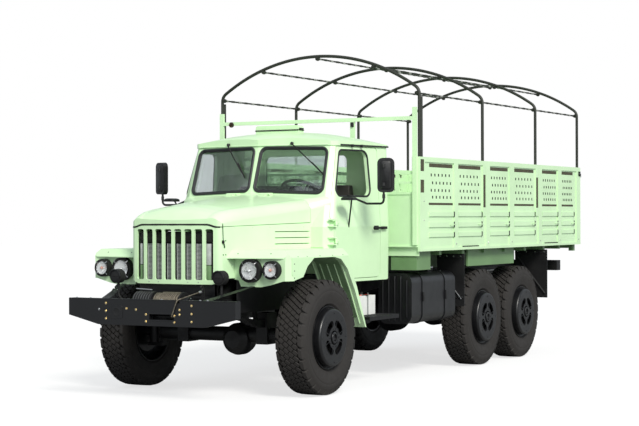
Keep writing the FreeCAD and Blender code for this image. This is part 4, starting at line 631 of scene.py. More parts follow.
class TRUCK_OT_bumper_fittings(bpy.types.Operator):
    """Plated bolts, tow-eye plate, top edge and fairlead frame of the bumper"""

    bl_idname = "truck.bumper_fittings"
    bl_label = "Bumper fittings"

    def execute(self, context):
        form = Form()
        radius = sizes().bolt_radius
        for x, z in BUMPER_BOLTS:
            form.bolt(at(x, BUMPER_FACE, z), FRONT, radius)
        form.bolt(at(-0.570, BUMPER_FACE, 0.846), FRONT, radius, "bright_steel")
        outline = rounded(rectangle(-0.440, 0.765, -0.305, 0.885, 0.012), 3)
        form.prism(outline, lambda a, b, c: at(a, BUMPER_FACE - c, b), 0.0, 0.004, "satin_black", 0.001)
        form.lathe([(0.004, 0.044), (0.0055, 0.040), (0.0055, 0.034), (0.0045, 0.032), (0.0045, 0.0)],
                   at(-0.372, BUMPER_FACE, 0.826), FRONT, "chassis_black", 32)
        for x in (-0.86, -0.70, 0.10, 0.52, 0.60):
            form.bolt(at(x, BUMPER_FACE + 0.045, BUMPER_TOP), UP, 0.010, "bright_steel")
        for stretch in ((-0.91, -0.5, 0.0, 0.27), (0.335, 0.6, 0.91)):
            form.tube([at(x, BUMPER_FACE - 0.001, BUMPER_TOP - 0.0005) for x in stretch], 0.0035,
                      "satin_black", 6)
        x0, x1, *levels = FAIRLEAD
        for z in levels:
            form.box((x0, -0.004, z - 0.006), (x1, 0.002, z + 0.006), "satin_black", 0.002,
                     at(0, BUMPER_FACE, 0))
        form.piece("bumper_fittings", "chassis", "black_paint")
        return {"FINISHED"}


def spline_points(controls, resolution):
    """Points along a NURBS line of order 3 through its control polygon."""
    curve = bpy.data.curves.new("guide", "CURVE")
    curve.dimensions = "3D"
    line = curve.splines.new("NURBS")
    line.points.add(len(controls) - 1)
    for point, spot in zip(line.points, controls):
        point.co = (*spot, 1.0)
    line.order_u = 3
    line.use_endpoint_u = True
    line.resolution_u = resolution
    obj = bpy.data.objects.new("guide", curve)
    mesh = bpy.data.meshes.new_from_object(obj)
    points = [v.co.copy() for v in mesh.vertices]
    bpy.data.objects.remove(obj)
    bpy.data.curves.remove(curve)
    bpy.data.meshes.remove(mesh)
    return points


STRANDS, LAY = 6, 0.045     # of the wire rope, length of one turn of a strand


def add_rope(form, points, radius):
    """Laid rope: strands wound about a line."""
    spaced = [points[0]]
    for a, b in zip(points, points[1:]):
        steps = max(1, int((b - a).length / (LAY / 8.0)))
        spaced += [a.lerp(b, k / steps) for k in range(1, steps + 1)]
    u, _ = basis(spaced[1] - spaced[0])
    frames = []
    run = 0.0
    for i, p in enumerate(spaced):
        before, after = spaced[max(i - 1, 0)], spaced[min(i + 1, len(spaced) - 1)]
        t = (after - before).normalized()
        u = (u - t * u.dot(t)).normalized()
        run += (p - before).length
        frames.append((p, u.copy(), t.cross(u), run))
    strand = radius * 0.36
    for s in range(STRANDS):
        line = []
        for p, a, b, d in frames:
            turn = 2 * math.pi * (d / LAY + s / STRANDS)
            line.append(p + (a * math.cos(turn) + b * math.sin(turn)) * (radius - strand))
        form.tube(line, strand, "wire_rope", 5)
    form.tube(spaced[::2] + [spaced[-1]], radius * 0.55, "wire_rope", 6)


WINCH = (-1.130, 0.910)     # y, z of the drum's axis
DRUM_R = 0.080
ROPE_ROUTE = (              # x, y, z from the drum to the hook
    (0.205, -1.130, 0.8237), (0.224, -1.240, 0.807), (0.243, -1.338, 0.790), (0.252, -1.3385, 0.813),
    (0.290, -1.336, 0.912), (0.302, -1.335, 0.944), (0.311, -1.296, 0.953), (0.350, -1.135, 0.9915),
    (0.372, -1.046, 1.010),
)
WINDING_STEPS = 28          # points to a turn of rope
HOOK = (                    # y, z from the rope's end
    (0.006, 0.004), (0.020, 0.012), (0.034, 0.024), (0.040, 0.038), (0.034, 0.052), (0.020, 0.058),
    (0.008, 0.052), (0.004, 0.042),
)


class TRUCK_OT_winch_dressing(bpy.types.Operator):
    """Wound rope, ribbed gear case, clutch rod and the rope out to its parked hook"""

    bl_idname = "truck.winch_dressing"
    bl_label = "Winch dressing"

    def execute(self, context):
        radius = sizes().rope_radius
        y, z = WINCH

        def winding(form, turns, r, along):
            line = []
            for k in range(turns * WINDING_STEPS + 1):
                a = 2 * math.pi * k / WINDING_STEPS
                line.append(at(along(k / (turns * WINDING_STEPS), a), y + r * math.sin(a),
                               z + r * math.cos(a)))
            form.tube(line, radius, "wire_rope", 7)
        drum = Form()
        winding(drum, 22, DRUM_R + radius, lambda share,
                a: -0.052 + 0.288 * share + 0.004 * math.sin(a * 0.37))
        winding(drum, 9, DRUM_R + 2.6 * radius, lambda share, a: 0.020 + 0.19 * share + 0.016 * math.sin(a))
        drum.piece("drum_winding", "chassis", "wire_rope")

        case = Form()
        for i in range(7):
            x = -0.262 + 0.028 * i
            case.lathe([(x, 0.094), (x, 0.101), (x + 0.008, 0.101), (x + 0.008, 0.094)], at(0, y, z),
                       (1, 0, 0),
                       "cast_grey", 32, closed=True)
        for i in range(6):
            a = math.radians(60 * i)
            for x, reach, normal, r in ((-0.270, 0.070, (-1, 0, 0), 0.008), (0.320, 0.042, (1, 0, 0), 0.007)):
                case.bolt(at(x, y + reach * math.sin(a), z + reach * math.cos(a)), normal, r, "bright_steel")
        case.rod(at(-0.270, y - 0.02, z + 0.125), at(-0.080, y - 0.035, z + 0.118), 0.006, "bright_steel", 10)
        case.piece("winch_fittings", "chassis", "black_paint")

        rope = Form()
        add_rope(rope, spline_points([at(*p) for p in ROPE_ROUTE], 14), radius)
        end = at(*ROPE_ROUTE[-1])
        rope.lathe([(-0.020, 0.009), (-0.014, 0.014), (0.006, 0.014), (0.012, 0.009)], end,
                   Vector((0.088, 0.35, 0.075)), "bright_steel", 14)
        rope.tube([end + Vector((0, a, b)) for a, b in HOOK], 0.008, "chassis_black", 8)
        piece = rope.piece("winch_rope_laid", "chassis", "wire_rope")
        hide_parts("winch_rope")
        return {"FINISHED"}


CORE = (-0.400, 0.400, 1.085, 1.452)           # x from, x to, z from, z to
SLOTS, SLOT_PITCH = 8, 0.110                   # of the nose, a strip of rungs behind each
RUNGS = 30
# the lower part of each end strip is painted shade: the nose's side wall seen in shade
END_STRIP = ((CORE[2], 1.250, "shade_green"), (1.255, CORE[3], "fin_alloy"))   # z from, z to, finish
RADIATOR_BLOCKS = (         # two corners from the radiator's front, finish, bevel
    ((CORE[0], 0.0, 1.465), (CORE[1], 0.075, 1.565), "void_black", 0.012),
    ((-0.430, 0.0, 0.930), (0.430, 0.080, 0.960), "chassis_black", 0.003),
    ((-0.420, 0.01, 0.955), (0.420, 0.06, 1.085), "chassis_black", 0.006),
    ((-0.420, 0.015, 0.950), (-0.395, 0.065, 1.560), "void_black", 0.002),
    ((0.395, 0.015, 0.950), (0.420, 0.065, 1.560), "void_black", 0.002),
)


class TRUCK_OT_radiator(bpy.types.Operator):
    """Radiator behind strips of rungs, with its top tank, side straps and lower beam"""

    bl_idname = "truck.radiator"
    bl_label = "Radiator"

    def execute(self, context):
        form = Form()
        face = Vector((0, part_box("radiator")[0].y, 0))
        x0, x1, z0, z1 = CORE
        # dark block behind the rungs: painted shade in the depth of the core
        form.box((x0, 0.026, z0), (x1, 0.067, 1.470), "void_black", 0.0, face)
        core = face + BACK * 0.012
        for i in range(SLOTS):
            near = x0 + SLOT_PITCH * i - 0.0385
            far = near + 0.052
            near = max(near, x0 - 0.012)
            if i in (0, SLOTS - 1):
                for low_z, high_z, tone in END_STRIP:
                    form.box((near, 0.0, low_z), (far, 0.010, high_z), tone, 0.002, core)
                continue
            for x in (near + 0.003, far - 0.003):
                form.rod(core + Vector((x, 0.004, z0)), core + Vector((x, 0.004, z1)), 0.003, "fin_alloy", 6)
            for n in range(RUNGS):
                z = z0 + (z1 - z0) * (n + 0.5) / RUNGS
                form.box((near, 0.002, z - 0.0031), (far, 0.014, z + 0.0031), "fin_alloy", 0.0, core)
        for corner, opposite, tone, bevel in RADIATOR_BLOCKS:
            form.box(corner, opposite, tone, bevel, face)
        piece = form.piece("radiator_core", "chassis", "grey_metal")
        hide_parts("radiator")
        return {"FINISHED"}


LAMPS = (("reflector", 0.723, 1.203, 0.110), ("bulb_pink", 0.951, 1.210, 0.086))   # bulb, x, z, radius
LAMP_FRONT = -0.767
GLASS_SHARE = 0.78          # a lens's radius against its lamp's


class TRUCK_OT_lamps(bpy.types.Operator):
    """Head and side lamps with rims, bowls, bulbs, lenses and clips, and the two hooded lamps"""

    bl_idname = "truck.lamps"
    bl_label = "Lamps"

    def execute(self, context):
        for side, s in SIDES:
            form = Form()
            lens = Form()
            for bulb, x, z, radius in LAMPS:
                centre = at(s * x, LAMP_FRONT, z)
                ring = radius * GLASS_SHARE
                rim = [(0.004, ring + 0.006), (0.010, ring + 0.004), (0.012, ring - 0.001),
                       (0.006, ring - 0.004),
                       (-0.004, ring - 0.004), (-0.004, ring + 0.006)]
                form.lathe(rim, centre, FRONT, "void_black", closed=True)
                bowl = [(-0.004, ring - 0.004), (-0.008, ring * 0.7), (-0.0105, ring * 0.35), (-0.0115, 1e-4)]
                form.lathe(bowl, centre, FRONT, "reflector", capped=False)
                form.lathe([(-0.010, 0.010), (-0.002, 0.014), (0.006, 0.012), (0.010, 0.006), (0.011, 0.0)],
                           centre,
                           FRONT, bulb, 16)
                dome = [(0.004, ring - 0.004), (0.012, ring * 0.86), (0.018, ring * 0.6), (0.022, ring * 0.3),
                        (0.0232, 1e-4)]
                lens.lathe(dome, centre, FRONT, "lens_glass", capped=False)
                if bulb == "reflector":
                    form.box((-ring * 0.62, -0.002, -ring * 0.06), (ring * 0.62, 0.001, ring * 0.02),
                             "bright_steel",
                             0.001, centre)
                for i in range(4):
                    a = math.radians(45 + 90 * i)
                    ray = Vector((math.cos(a), 0, math.sin(a)))
                    across = Vector((-math.sin(a), 0, math.cos(a))) * 0.004
                    clip = [centre + ray * d + FRONT * h
                            for d, h in ((ring - 0.006, 0.013), (ring + 0.004, 0.015),
                                         (radius - 0.010, 0.004),
                                         (radius + 0.004, 0.004))]
                    form.loops([[p + across, p - across, p - across - FRONT * 0.003,
                                 p + across - FRONT * 0.003]
                                for p in clip], "bright_steel")
            hood = at(s * 0.576, -1.060, 1.144)
            form.lathe([(0.0, 0.050), (0.006, 0.052), (0.010, 0.040), (0.008, 0.0)], hood, FRONT,
                       "chassis_black", 32)
            form.box((-0.040, -0.012, -0.006), (0.040, -0.006, 0.010), "void_black", 0.002, hood)
            form.tube([hood + Vector((0.062 * math.cos(a), -0.014, 0.062 * math.sin(a)))
                       for a in (math.pi * n / 16 for n in range(17))], 0.006, "satin_black", 8)
            form.piece("lamp_fittings_" + side, "chassis", "black_paint")
            lens.piece("lamp_lenses_" + side, "chassis", "glass")
        return {"FINISHED"}


NOSE_AHEAD = -1.30          # y ahead of the nose, where rays start
SEAM_Z = 1.6065
SEAM = ((0.0, 0.024), (0.200, 0.024), (0.368, 0.0235), (0.395, 0.018), (0.425, 0.008), (0.455, 0.001),
        (0.485, 0.0))


class TRUCK_OT_nose_fittings(bpy.types.Operator):
    """Rivets of the nose, the bonnet's catch and the gasket in its seam"""

    bl_idname = "truck.nose_fittings"
    bl_label = "Nose fittings"

    def execute(self, context):
        form = Form()
        nose = skin_of("grille_shell")
        form.rivets(nose, [at(x, NOSE_AHEAD, 1.094) for x in (-0.275, -0.165, 0.165, 0.275)], BACK,
                    "bright_steel")
        flank = skin_of("grille_shell", "engine_sides")
        for s in (1.0, -1.0):
            form.rivets(flank, [at(s * 1.2, y, z) for y in (-0.862, -0.828) for z in (1.350, 1.480)],
                        (-s, 0, 0),
                        "chassis_black", 0.007)
            form.rivets(flank, [at(s * 1.3, y, 1.603) for y in (-0.70, -0.45, -0.20, 0.05, 0.30)], (-s, 0, 0),
                        "mint_paint")
        form.piece("nose_fittings", "chassis", "grey_metal")

        catch = Form()
        top, out = cast(nose, at(1.2, -0.871, 1.585), (-1, 0, 0))
        low, _ = cast(nose, at(1.2, -0.866, 1.470), (-1, 0, 0))
        hook, _ = cast(nose, at(1.2, -0.852, 1.425), (-1, 0, 0))
        catch.tube([top + out * 0.006 + UP * 0.055, top + out * 0.008, low + out * 0.008], 0.0035,
                   "cast_grey", 8)
        catch.box((-0.004, -0.014, -0.014), (0.012, 0.014, 0.014), "chassis_black", 0.003, low)
        catch.tube([low + out * 0.010, hook + out * 0.012, hook + out * 0.004 + Vector((0, 0.006, -0.010))],
                   0.005,
                   "chassis_black", 8)
        catch.piece("bonnet_catch", "chassis", "grey_metal")

        seam = Form()
        line = []
        for x, rise in [(-x, rise) for x, rise in SEAM[:0:-1]] + list(SEAM):
            level = SEAM_Z + rise
            met, _ = cast(nose, at(x, NOSE_AHEAD, level - 0.012), BACK)
            line.append(Vector((met.x, met.y + 0.003, level)))
        seam.tube(line, 0.0095, "void_black", 8)
        seam.piece("bonnet_gasket", "chassis", "rubber")
        return {"FINISHED"}


# rows of a painted shade sheet inside each wing's arch
ARCH_SHADE_TURNS = range(-44, 82, 3)                # degrees round the wheel, rearwards from straight up
ARCH_SHADE_BLACK_TO = 16
ARCH_SHADE_COLUMNS, ARCH_SHADE_FROM, ARCH_SHADE_PITCH = 7, 0.780, 0.044
ARCH_SHADE_AXIS = 0.551          # height from which the rays of the painted shade sheet fan out
ARCH_SHADE_JUMP = 0.12           # a row further than this from the last one lies on another surface
APRON_X = 0.545


class TRUCK_OT_wing_fittings(bpy.types.Operator):
    """Rivets and ribs of the wings, painted shade inside their arches, and the splash aprons inside them"""

    bl_idname = "truck.wing_fittings"
    bl_label = "Wing fittings"

    def execute(self, context):
        for side, s in SIDES:
            form = Form()
            skin = skin_of("fender_" + side)
            outside = [at(s * 1.3, -0.600, z) for z in (1.265, 1.201, 1.136)]
            outside += [at(s * 1.3, y, 1.330) for y in (-0.52, -0.35, -0.10, 0.15, 0.36)]
            form.rivets(skin, outside, (-s, 0, 0), "chassis_black")
            form.rivets(skin, [at(s * x, -1.2, 1.360) for x in (0.60, 0.92)], BACK, "chassis_black")
            for x in (0.66, 0.74, 0.82, 0.90, 0.98, 1.06):
                line = line_on(skin, [at(s * x, 0.10, 1.24 - 0.04 * t) for t in range(16)], BACK, 0.002)
                if len(line) > 1:
                    form.tube(line, 0.007, "mint_paint", 8)
            # painted shade inside the arch: black above the tyre, darker green behind it
            rows = []
            for turn in ARCH_SHADE_TURNS:
                ray = Vector((0, math.sin(math.radians(turn)), math.cos(math.radians(turn))))
                met = [skin.ray_cast(at(s * (ARCH_SHADE_FROM + ARCH_SHADE_PITCH * k), 0.0, ARCH_SHADE_AXIS), ray)[0]
                       for k in range(ARCH_SHADE_COLUMNS)]
                if None not in met and (not rows or (met[0] - rows[-1][2][0]).length < ARCH_SHADE_JUMP):
                    rows.append((turn, ray, met))
            for dark, tone in ((True, "void_black"), (False, "shade_green")):
                rings = [[m - ray * 0.0045 for m in row] + [m - ray * 0.0005 for m in row[::-1]]
                         for turn, ray, row in rows if (turn <= ARCH_SHADE_BLACK_TO) == dark or turn == ARCH_SHADE_BLACK_TO]
                if len(rings) > 1:
                    form.loops(rings, tone)
            form.piece("wing_fittings_" + side, "chassis", "green_paint")

            apron = Form()
            outline = rounded([(-0.700, 0.800, 0.030), (0.395, 0.800, 0.030), (0.395, 1.128, 0.010),
                               (-0.700, 1.128, 0.010)], 4)
            apron.prism(outline, lambda a, b, c: at(s * (APRON_X + c), a, b), 0.0, 0.005, "flap_rubber",
                        0.001)
            apron.box(at(s * 0.550, -0.690, 1.096), at(s * 0.553, 0.385, 1.120), "satin_black", 0.001)
            for n in range(7):
                apron.bolt(at(s * 0.553, -0.64 + 0.16 * n, 1.108), (s, 0, 0), 0.008, "satin_black")
            apron.piece("splash_apron_" + side, "chassis", "rubber")
        return {"FINISHED"}


# ---------------------------------------------------------------- cab
BESIDE, AHEAD = 1.4, -0.5   # x beside the doors and y ahead of the windscreen, where rays start
WINDSCREEN = ((0.034, 1.962, 0.055), (0.768, 1.936, 0.055), (0.752, 2.385, 0.060), (0.044, 2.398, 0.055))
WINDSCREEN_BEADS = ((0.006, 1.0, 0.2), (-0.008, 0.8, -0.4))    # growth, share of the radius, lift in radii
DOOR_WINDOW = ((0.626, 1.913, 0.050), (0.784, 2.364, 0.060), (1.226, 2.366, 0.075), (1.244, 1.913, 0.075))
REAR_WINDOW = rectangle(-0.500, 2.020, 0.500, 2.350, 0.060)


class TRUCK_OT_window_rubbers(bpy.types.Operator):
    """Rubbers round the windscreen panes, the rear window and the door windows"""

    bl_idname = "truck.window_rubbers"
    bl_label = "Window rubbers"

    def execute(self, context):
        shell = skin_of("cab_shell")
        radius = sizes().seal_radius
        form = Form()
        pane = rounded(WINDSCREEN)
        probe = grown(pane, 0.010)
        for s in (1.0, -1.0):
            for amount, share, lift in WINDSCREEN_BEADS:
                r = radius * share
                line = []
                for p, q in zip(grown(pane, amount), probe):
                    met, normal = cast(shell, at(s * q.x, AHEAD, q.y), BACK)
                    line.append(Vector((s * p.x, met.y, p.y)) + normal * r * lift)
                form.tube(line, r, "seal_rubber", closed=True)
        line = [cast(shell, at(p.x, 2.2, p.y), FRONT)[0] for p in grown(rounded(REAR_WINDOW), 0.008)]
        form.tube(line, radius, "seal_rubber", closed=True)
        form.piece("cab_window_rubbers", "chassis", "rubber")
        for side, s in SIDES:
            skin = skin_of("door_" + side)
            seal = Form()
            line = [cast(skin, at(s * BESIDE, p.x, p.y), (-s, 0, 0))[0]
                    for p in grown(rounded(DOOR_WINDOW), 0.007)]
            seal.tube(line, radius * 0.8, "seal_rubber", closed=True)
            seal.piece("door_window_rubber_" + side, "door_" + side, "rubber")
        return {"FINISHED"}


WIPERS = ((-0.375, -0.150, 2.150), (0.375, 0.700, 2.160))      # pivot's x, tip's x and z
BLADE = 0.20


class TRUCK_OT_wipers(bpy.types.Operator):
    """Two wipers hung from above the windscreen"""

    bl_idname = "truck.wipers"
    bl_label = "Wipers"

    def execute(self, context):
        shell = skin_of("cab_shell", "glass_panes")
        form = Form()
        for x, tip_x, tip_z in WIPERS:
            pivot, normal = cast(shell, at(x, AHEAD, 2.440), BACK)
            form.lathe([(0.0, 0.016), (0.020, 0.016), (0.028, 0.010), (0.030, 0.0)], pivot, normal,
                       "trim_plastic", 18)
            tip, out = cast(shell, at(tip_x, AHEAD, tip_z), BACK)
            start, end = pivot + normal * 0.024, tip + out * 0.030
            form.tube([start, start.lerp(end, 0.4) + out * 0.014, end], 0.0065, "void_black", 8)
            along = (tip - pivot).normalized() * BLADE
            blade = line_on(shell, [tip + along * (k / 8.0 - 0.62) + FRONT * 0.4 for k in range(9)], BACK,
                            0.014)
            form.tube(blade, 0.0075, "void_black", 6)
            for spot in (blade[3], blade[7]):
                form.tube([end, spot], 0.005, "void_black", 6)
        form.piece("wipers", "chassis", "trim")
        return {"FINISHED"}


STRIP_Z = 2.422             # of the strip over the door
HANDLE = ((0.092, 0.004, 0.020), (0.080, 0.004, 0.040), (-0.070, 0.0, 0.040), (-0.096, -0.002, 0.032))


class TRUCK_OT_cab_fittings(bpy.types.Operator):
    """Strips over the doors, brackets, catch blocks and roof edge of the cab, and the doors' handles"""

    bl_idname = "truck.cab_fittings"
    bl_label = "Cab fittings"

    def execute(self, context):
        shell = skin_of("cab_shell")
        form = Form()
        for s in (1.0, -1.0):
            inward = (-s, 0, 0)
            strip = [cast(shell, at(s * BESIDE, 0.80 + 0.80 * k / 19, STRIP_Z), inward)[0] for k in range(20)]
            form.tube([p + Vector((s * 0.004, 0, 0)) for p in strip], 0.009, "seal_rubber", 8)
            for y in (0.98, 1.13):
                form.side_box(s, (0, -0.014, -0.018), (0.022, 0.014, 0.010), "trim_plastic", 0.003,
                              cast(shell, at(s * BESIDE, y, STRIP_Z), inward)[0])
            form.side_box(s, (0, -0.036, -0.014), (0.030, 0.056, 0.014), "void_black", 0.004,
                          cast(shell, at(s * BESIDE, 1.445, 1.585), inward)[0])
            form.rivets(shell, [at(s * BESIDE, 1.50, z) for z in (1.20, 1.75, 2.20)], inward, "mint_paint")
        edge = [cast(shell, at(-0.76 + 1.52 * k / 32, AHEAD, 2.424), BACK)[0] for k in range(33)]
        form.tube(edge, 0.006, "mint_paint", 8)
        form.piece("cab_fittings", "chassis", "green_paint")
        for side, s in SIDES:
            door = skin_of("door_" + side)
            inward = (-s, 0, 0)
            part = Form()
            middle, _ = cast(door, at(s * BESIDE, 1.300, 1.585), inward)

            def place(a, b, c, s=s, middle=middle):
                """Rearwards, up and out from the handle's middle."""
                return middle + Vector((s * c, a, b))
            part.prism(rounded(rectangle(-0.035, -0.022, 0.060, 0.022, 0.010), 3), place, -0.002, 0.008,
                       "trim_plastic", 0.002)
            part.rod(place(0.050, 0, 0), place(0.050, 0, 0.040), 0.012, "void_black", 14)
            part.tube([place(*p) for p in HANDLE], 0.010, "void_black")
            part.rivets(door, [at(s * BESIDE, y, 1.125) for y in (0.85, 1.05, 1.25)], inward, "mint_paint")
            for z in (1.460, 1.640):
                for y in (0.542, 0.572):
                    part.bolt(*cast(door, at(s * BESIDE, y, z), inward), 0.008, "mint_paint")
            part.piece("door_fittings_" + side, "door_" + side, "trim")
        return {"FINISHED"}


SEATS = (("driver", 0.100, 0.620, 2), ("bench", -0.760, 0.020, 3))     # name, x from, x to, sewn channels
STUFFED = 0.93              # share of a cushion's depth that the channels cross
CUSHION_CUTS = 23
CHANNEL = 0.035             # half width of a sewn channel, as a share of half the cushion
CUSHION_HALF = (0.485, 0.485, 0.44)            # half sizes, as shares of the space it fills


def crowned(name, low, high, lean, crown, seams):
    """Stuffed cushion between corners: crowned top, rounded edges and sewn channels."""
    bm = bmesh.new()
    size = high - low
    bmesh.ops.create_cube(bm, size=1.0)
    bmesh.ops.subdivide_edges(bm, edges=bm.edges[:], cuts=CUSHION_CUTS, use_grid_fill=True)
    channels = [-1.0 + 2.0 * (k + 1) / (seams + 1) for k in range(seams)]
    for v in bm.verts:
        a, b, c = v.co * 2.0
        round_off = [1.0 - 0.10 * (abs(q) ** 6 * abs(r) ** 6) for q, r in ((b, c), (a, c), (a, b))]
        swell = 0.0
        if abs(c) > 0.5:
            sunk = sum(math.exp(-((a - k) / CHANNEL) ** 2) for k in channels) if abs(b) < STUFFED else 0.0
            swell = crown / size.z * ((1.0 - a * a) * (1.0 - b * b) - 0.5 * sunk)
        waist = 1 - 0.02 * c * c
        shares = (a * round_off[0] * waist, b * round_off[1] * waist,
                  c * round_off[2] + math.copysign(swell, c))
        x, y, z = (low[i] + size[i] * (0.5 + CUSHION_HALF[i] * shares[i]) for i in range(3))
        v.co = (x, y + lean * (z - low.z), z)
    mesh = bpy.data.meshes.new(name)
    bmesh.ops.recalc_face_normals(bm, faces=bm.faces)
    bm.to_mesh(mesh)
    bm.free()
    mesh.materials.append(finish("seat_hide"))
    mesh.shade_smooth()
    obj = placed(bpy.data.objects.new(name, mesh), "chassis")
    soft = obj.modifiers.new("smooth", "SUBSURF")
    soft.levels = soft.render_levels = 1
    return obj


class TRUCK_OT_seats(bpy.types.Operator):
    """Driver's seat and bench: stuffed cushions and backs on painted boxes"""

    bl_idname = "truck.seats"
    bl_label = "Seats"

    def execute(self, context):
        form = Form()
        for _, x0, x1, _ in SEATS:
            form.box(at(x0 + 0.03, 0.980, 1.170), at(x1 - 0.03, 1.420, 1.455), "chassis_black", 0.012)
            form.box(at(x0 + 0.01, 0.955, 1.452), at(x1 - 0.01, 1.445, 1.470), "chassis_black", 0.006)
            for x in (x0 + 0.05, x1 - 0.05):
                form.rod(at(x, 1.440, 1.45), at(x, 1.530, 2.02), 0.012, "chassis_black", 10)
        base = form.piece("seat_frames", "chassis", "black_paint")
        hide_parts("seats")
        for name, x0, x1, seams in SEATS:
            cushion = crowned("seat_cushion_" + name, at(x0, 0.940, 1.470), at(x1, 1.440, 1.600), 0.0, 0.022,
                              seams)
            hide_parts("seats")
            back = crowned("seat_back_" + name, at(x0, 1.400, 1.600), at(x1, 1.505, 2.055), 0.07, 0.010,
                           seams)
            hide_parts("seats")
        return {"FINISHED"}


DIALS = ((0.26, 1.76, 0.050), (0.42, 1.76, 0.050), (0.12, 1.77, 0.026), (0.54, 1.77, 0.026))   # x, z, radius


class TRUCK_OT_controls(bpy.types.Operator):
    """Dials and switches of the dashboard, and the gear lever"""

    bl_idname = "truck.controls"
    bl_label = "Controls"

    def execute(self, context):
        form = Form()
        panel = skin_of("dashboard")
        for x, z, r in DIALS:
            place, normal = cast(panel, at(x, 1.3, z), FRONT)
            form.lathe([(0.0, r), (0.010, r), (0.010, r - 0.006), (0.006, r - 0.007)], place, normal,
                       "chrome", 28)
            form.lathe([(0.005, r - 0.007), (0.006, 0.0)], place, normal, "dial_white", 28)
            hand = place + normal * 0.008
            form.tube([hand, hand + Vector((r * 0.4, 0, r * 0.4))], 0.0015, "void_black", 5)
        for k in range(6):
            place, normal = cast(panel, at(-0.15 + 0.05 * k, 1.3, 1.74), FRONT)
            form.rod(place, place + normal * 0.022, 0.006, "trim_plastic", 10, 0.008)
        form.tube([at(0.05, 0.80, 1.17), at(0.05, 0.83, 1.45), at(0.06, 0.92, 1.62)], 0.009, "chassis_black",
                  8)
        form.lathe([(0.0, 0.008), (0.01, 0.022), (0.03, 0.022), (0.042, 0.0)], at(0.06, 0.92, 1.61),
                   (0, 0.2, 1),
                   "trim_plastic", 16)
        form.piece("controls", "chassis", "trim")
        return {"FINISHED"}


MIRROR_TURN = math.radians(25.0)
MIRROR_X, MIRROR_Y = 1.318, 0.822              # of the arm that carries the head
HEAD_BACK = ((-0.022, 0.0), (-0.032, -0.006), (-0.038, -0.018))        # depth, growth of the outline
PAD_TOP = ((1.884, 0.0), (1.892, -0.012), (1.896, -0.030))             # z, growth of the outline


class TRUCK_OT_mirror_fittings(bpy.types.Operator):
    """Glasses, beads, backs and clamps of the mirrors, and the pads of the lower ones"""

    bl_idname = "truck.mirror_fittings"
    bl_label = "Mirror fittings"

    def execute(self, context):
        face = rounded(rectangle(-0.052, 1.953, 0.094, 2.270, 0.034, 0.044))
        rim = rounded(rectangle(-0.060, 1.945, 0.102, 2.278, 0.040, 0.050))
        back = rounded(rectangle(-0.040, 1.965, 0.082, 2.258, 0.030, 0.036))
        pad = rounded(rectangle(0.990, 0.520, 1.110, 0.670, 0.034))
        for side, s in SIDES:
            form = Form()
            pivot = at(s * MIRROR_X, MIRROR_Y, 0.0)

            def place(a, b, c, s=s, pivot=pivot):
                """Across the head, up, and back from its middle."""
                x = a * math.cos(MIRROR_TURN) - c * math.sin(MIRROR_TURN)
                y = a * math.sin(MIRROR_TURN) + c * math.cos(MIRROR_TURN)
                return Vector((pivot.x + s * x, pivot.y + y, b))
            glass = Form()
            glass.prism(face, place, 0.0262, 0.0282, "silvered")
            glass.piece("mirror_glass_" + side, "door_" + side, "glass")
            for depth, radius in ((0.026, 0.005), (-0.002, 0.0028)):
                form.tube([place(p.x, p.y, depth) for p in rim], radius, "mirror_shell", 6, closed=True)
            form.loops([[place(p.x, p.y, c) for p in grown(back, inset)] for c, inset in HEAD_BACK],
                       "mirror_shell")
            for z in (2.02, 2.20):
                form.lathe([(-0.016, 0.016), (0.016, 0.016)], place(0.0, z, -0.040), UP, "trim_plastic", 16)
            form.lathe([(-0.020, 0.0155), (0.020, 0.0155)], at(s * MIRROR_X, MIRROR_Y, 1.90), UP,
                       "trim_plastic", 16)
            form.loops([[at(s * p.x, p.y, z) for p in grown(pad, inset)] for z, inset in PAD_TOP],
                       "mirror_shell")
            form.piece("mirror_fittings_" + side, "door_" + side, "trim")
        return {"FINISHED"}


class TRUCK_OT_roof_fittings(bpy.types.Operator):
    """Gasket and hinge bar of the roof ventilator, its bracket and the lamp on the header"""

    bl_idname = "truck.roof_fittings"
    bl_label = "Roof fittings"

    def execute(self, context):
        form = Form()
        low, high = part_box("roof_vent")
        z = high.z - 0.050
        ring = rectangle(low.x - 0.002, low.y - 0.002, high.x + 0.002, high.y, z)
        form.tube(ring, 0.007, "void_black", 6, closed=True)
        form.box((high.x, low.y + 0.02, z), (high.x + 0.014, high.y - 0.02, z + 0.022), "chassis_black",
                 0.003)
        form.box(at(0.440, 1.778, 2.655), at(0.475, 1.797, 2.705), "trim_plastic", 0.004)
        lamp = at(-1.056, 1.793, 2.720)
        form.lathe([(0.0, 0.024), (0.010, 0.026), (0.022, 0.022), (0.028, 0.0)], lamp, FRONT, "lens_amber",
                   20)
        form.lathe([(-0.002, 0.030), (0.008, 0.030), (0.010, 0.026)], lamp, FRONT, "trim_plastic", 20)
        form.piece("roof_fittings", "chassis", "trim")
        return {"FINISHED"}


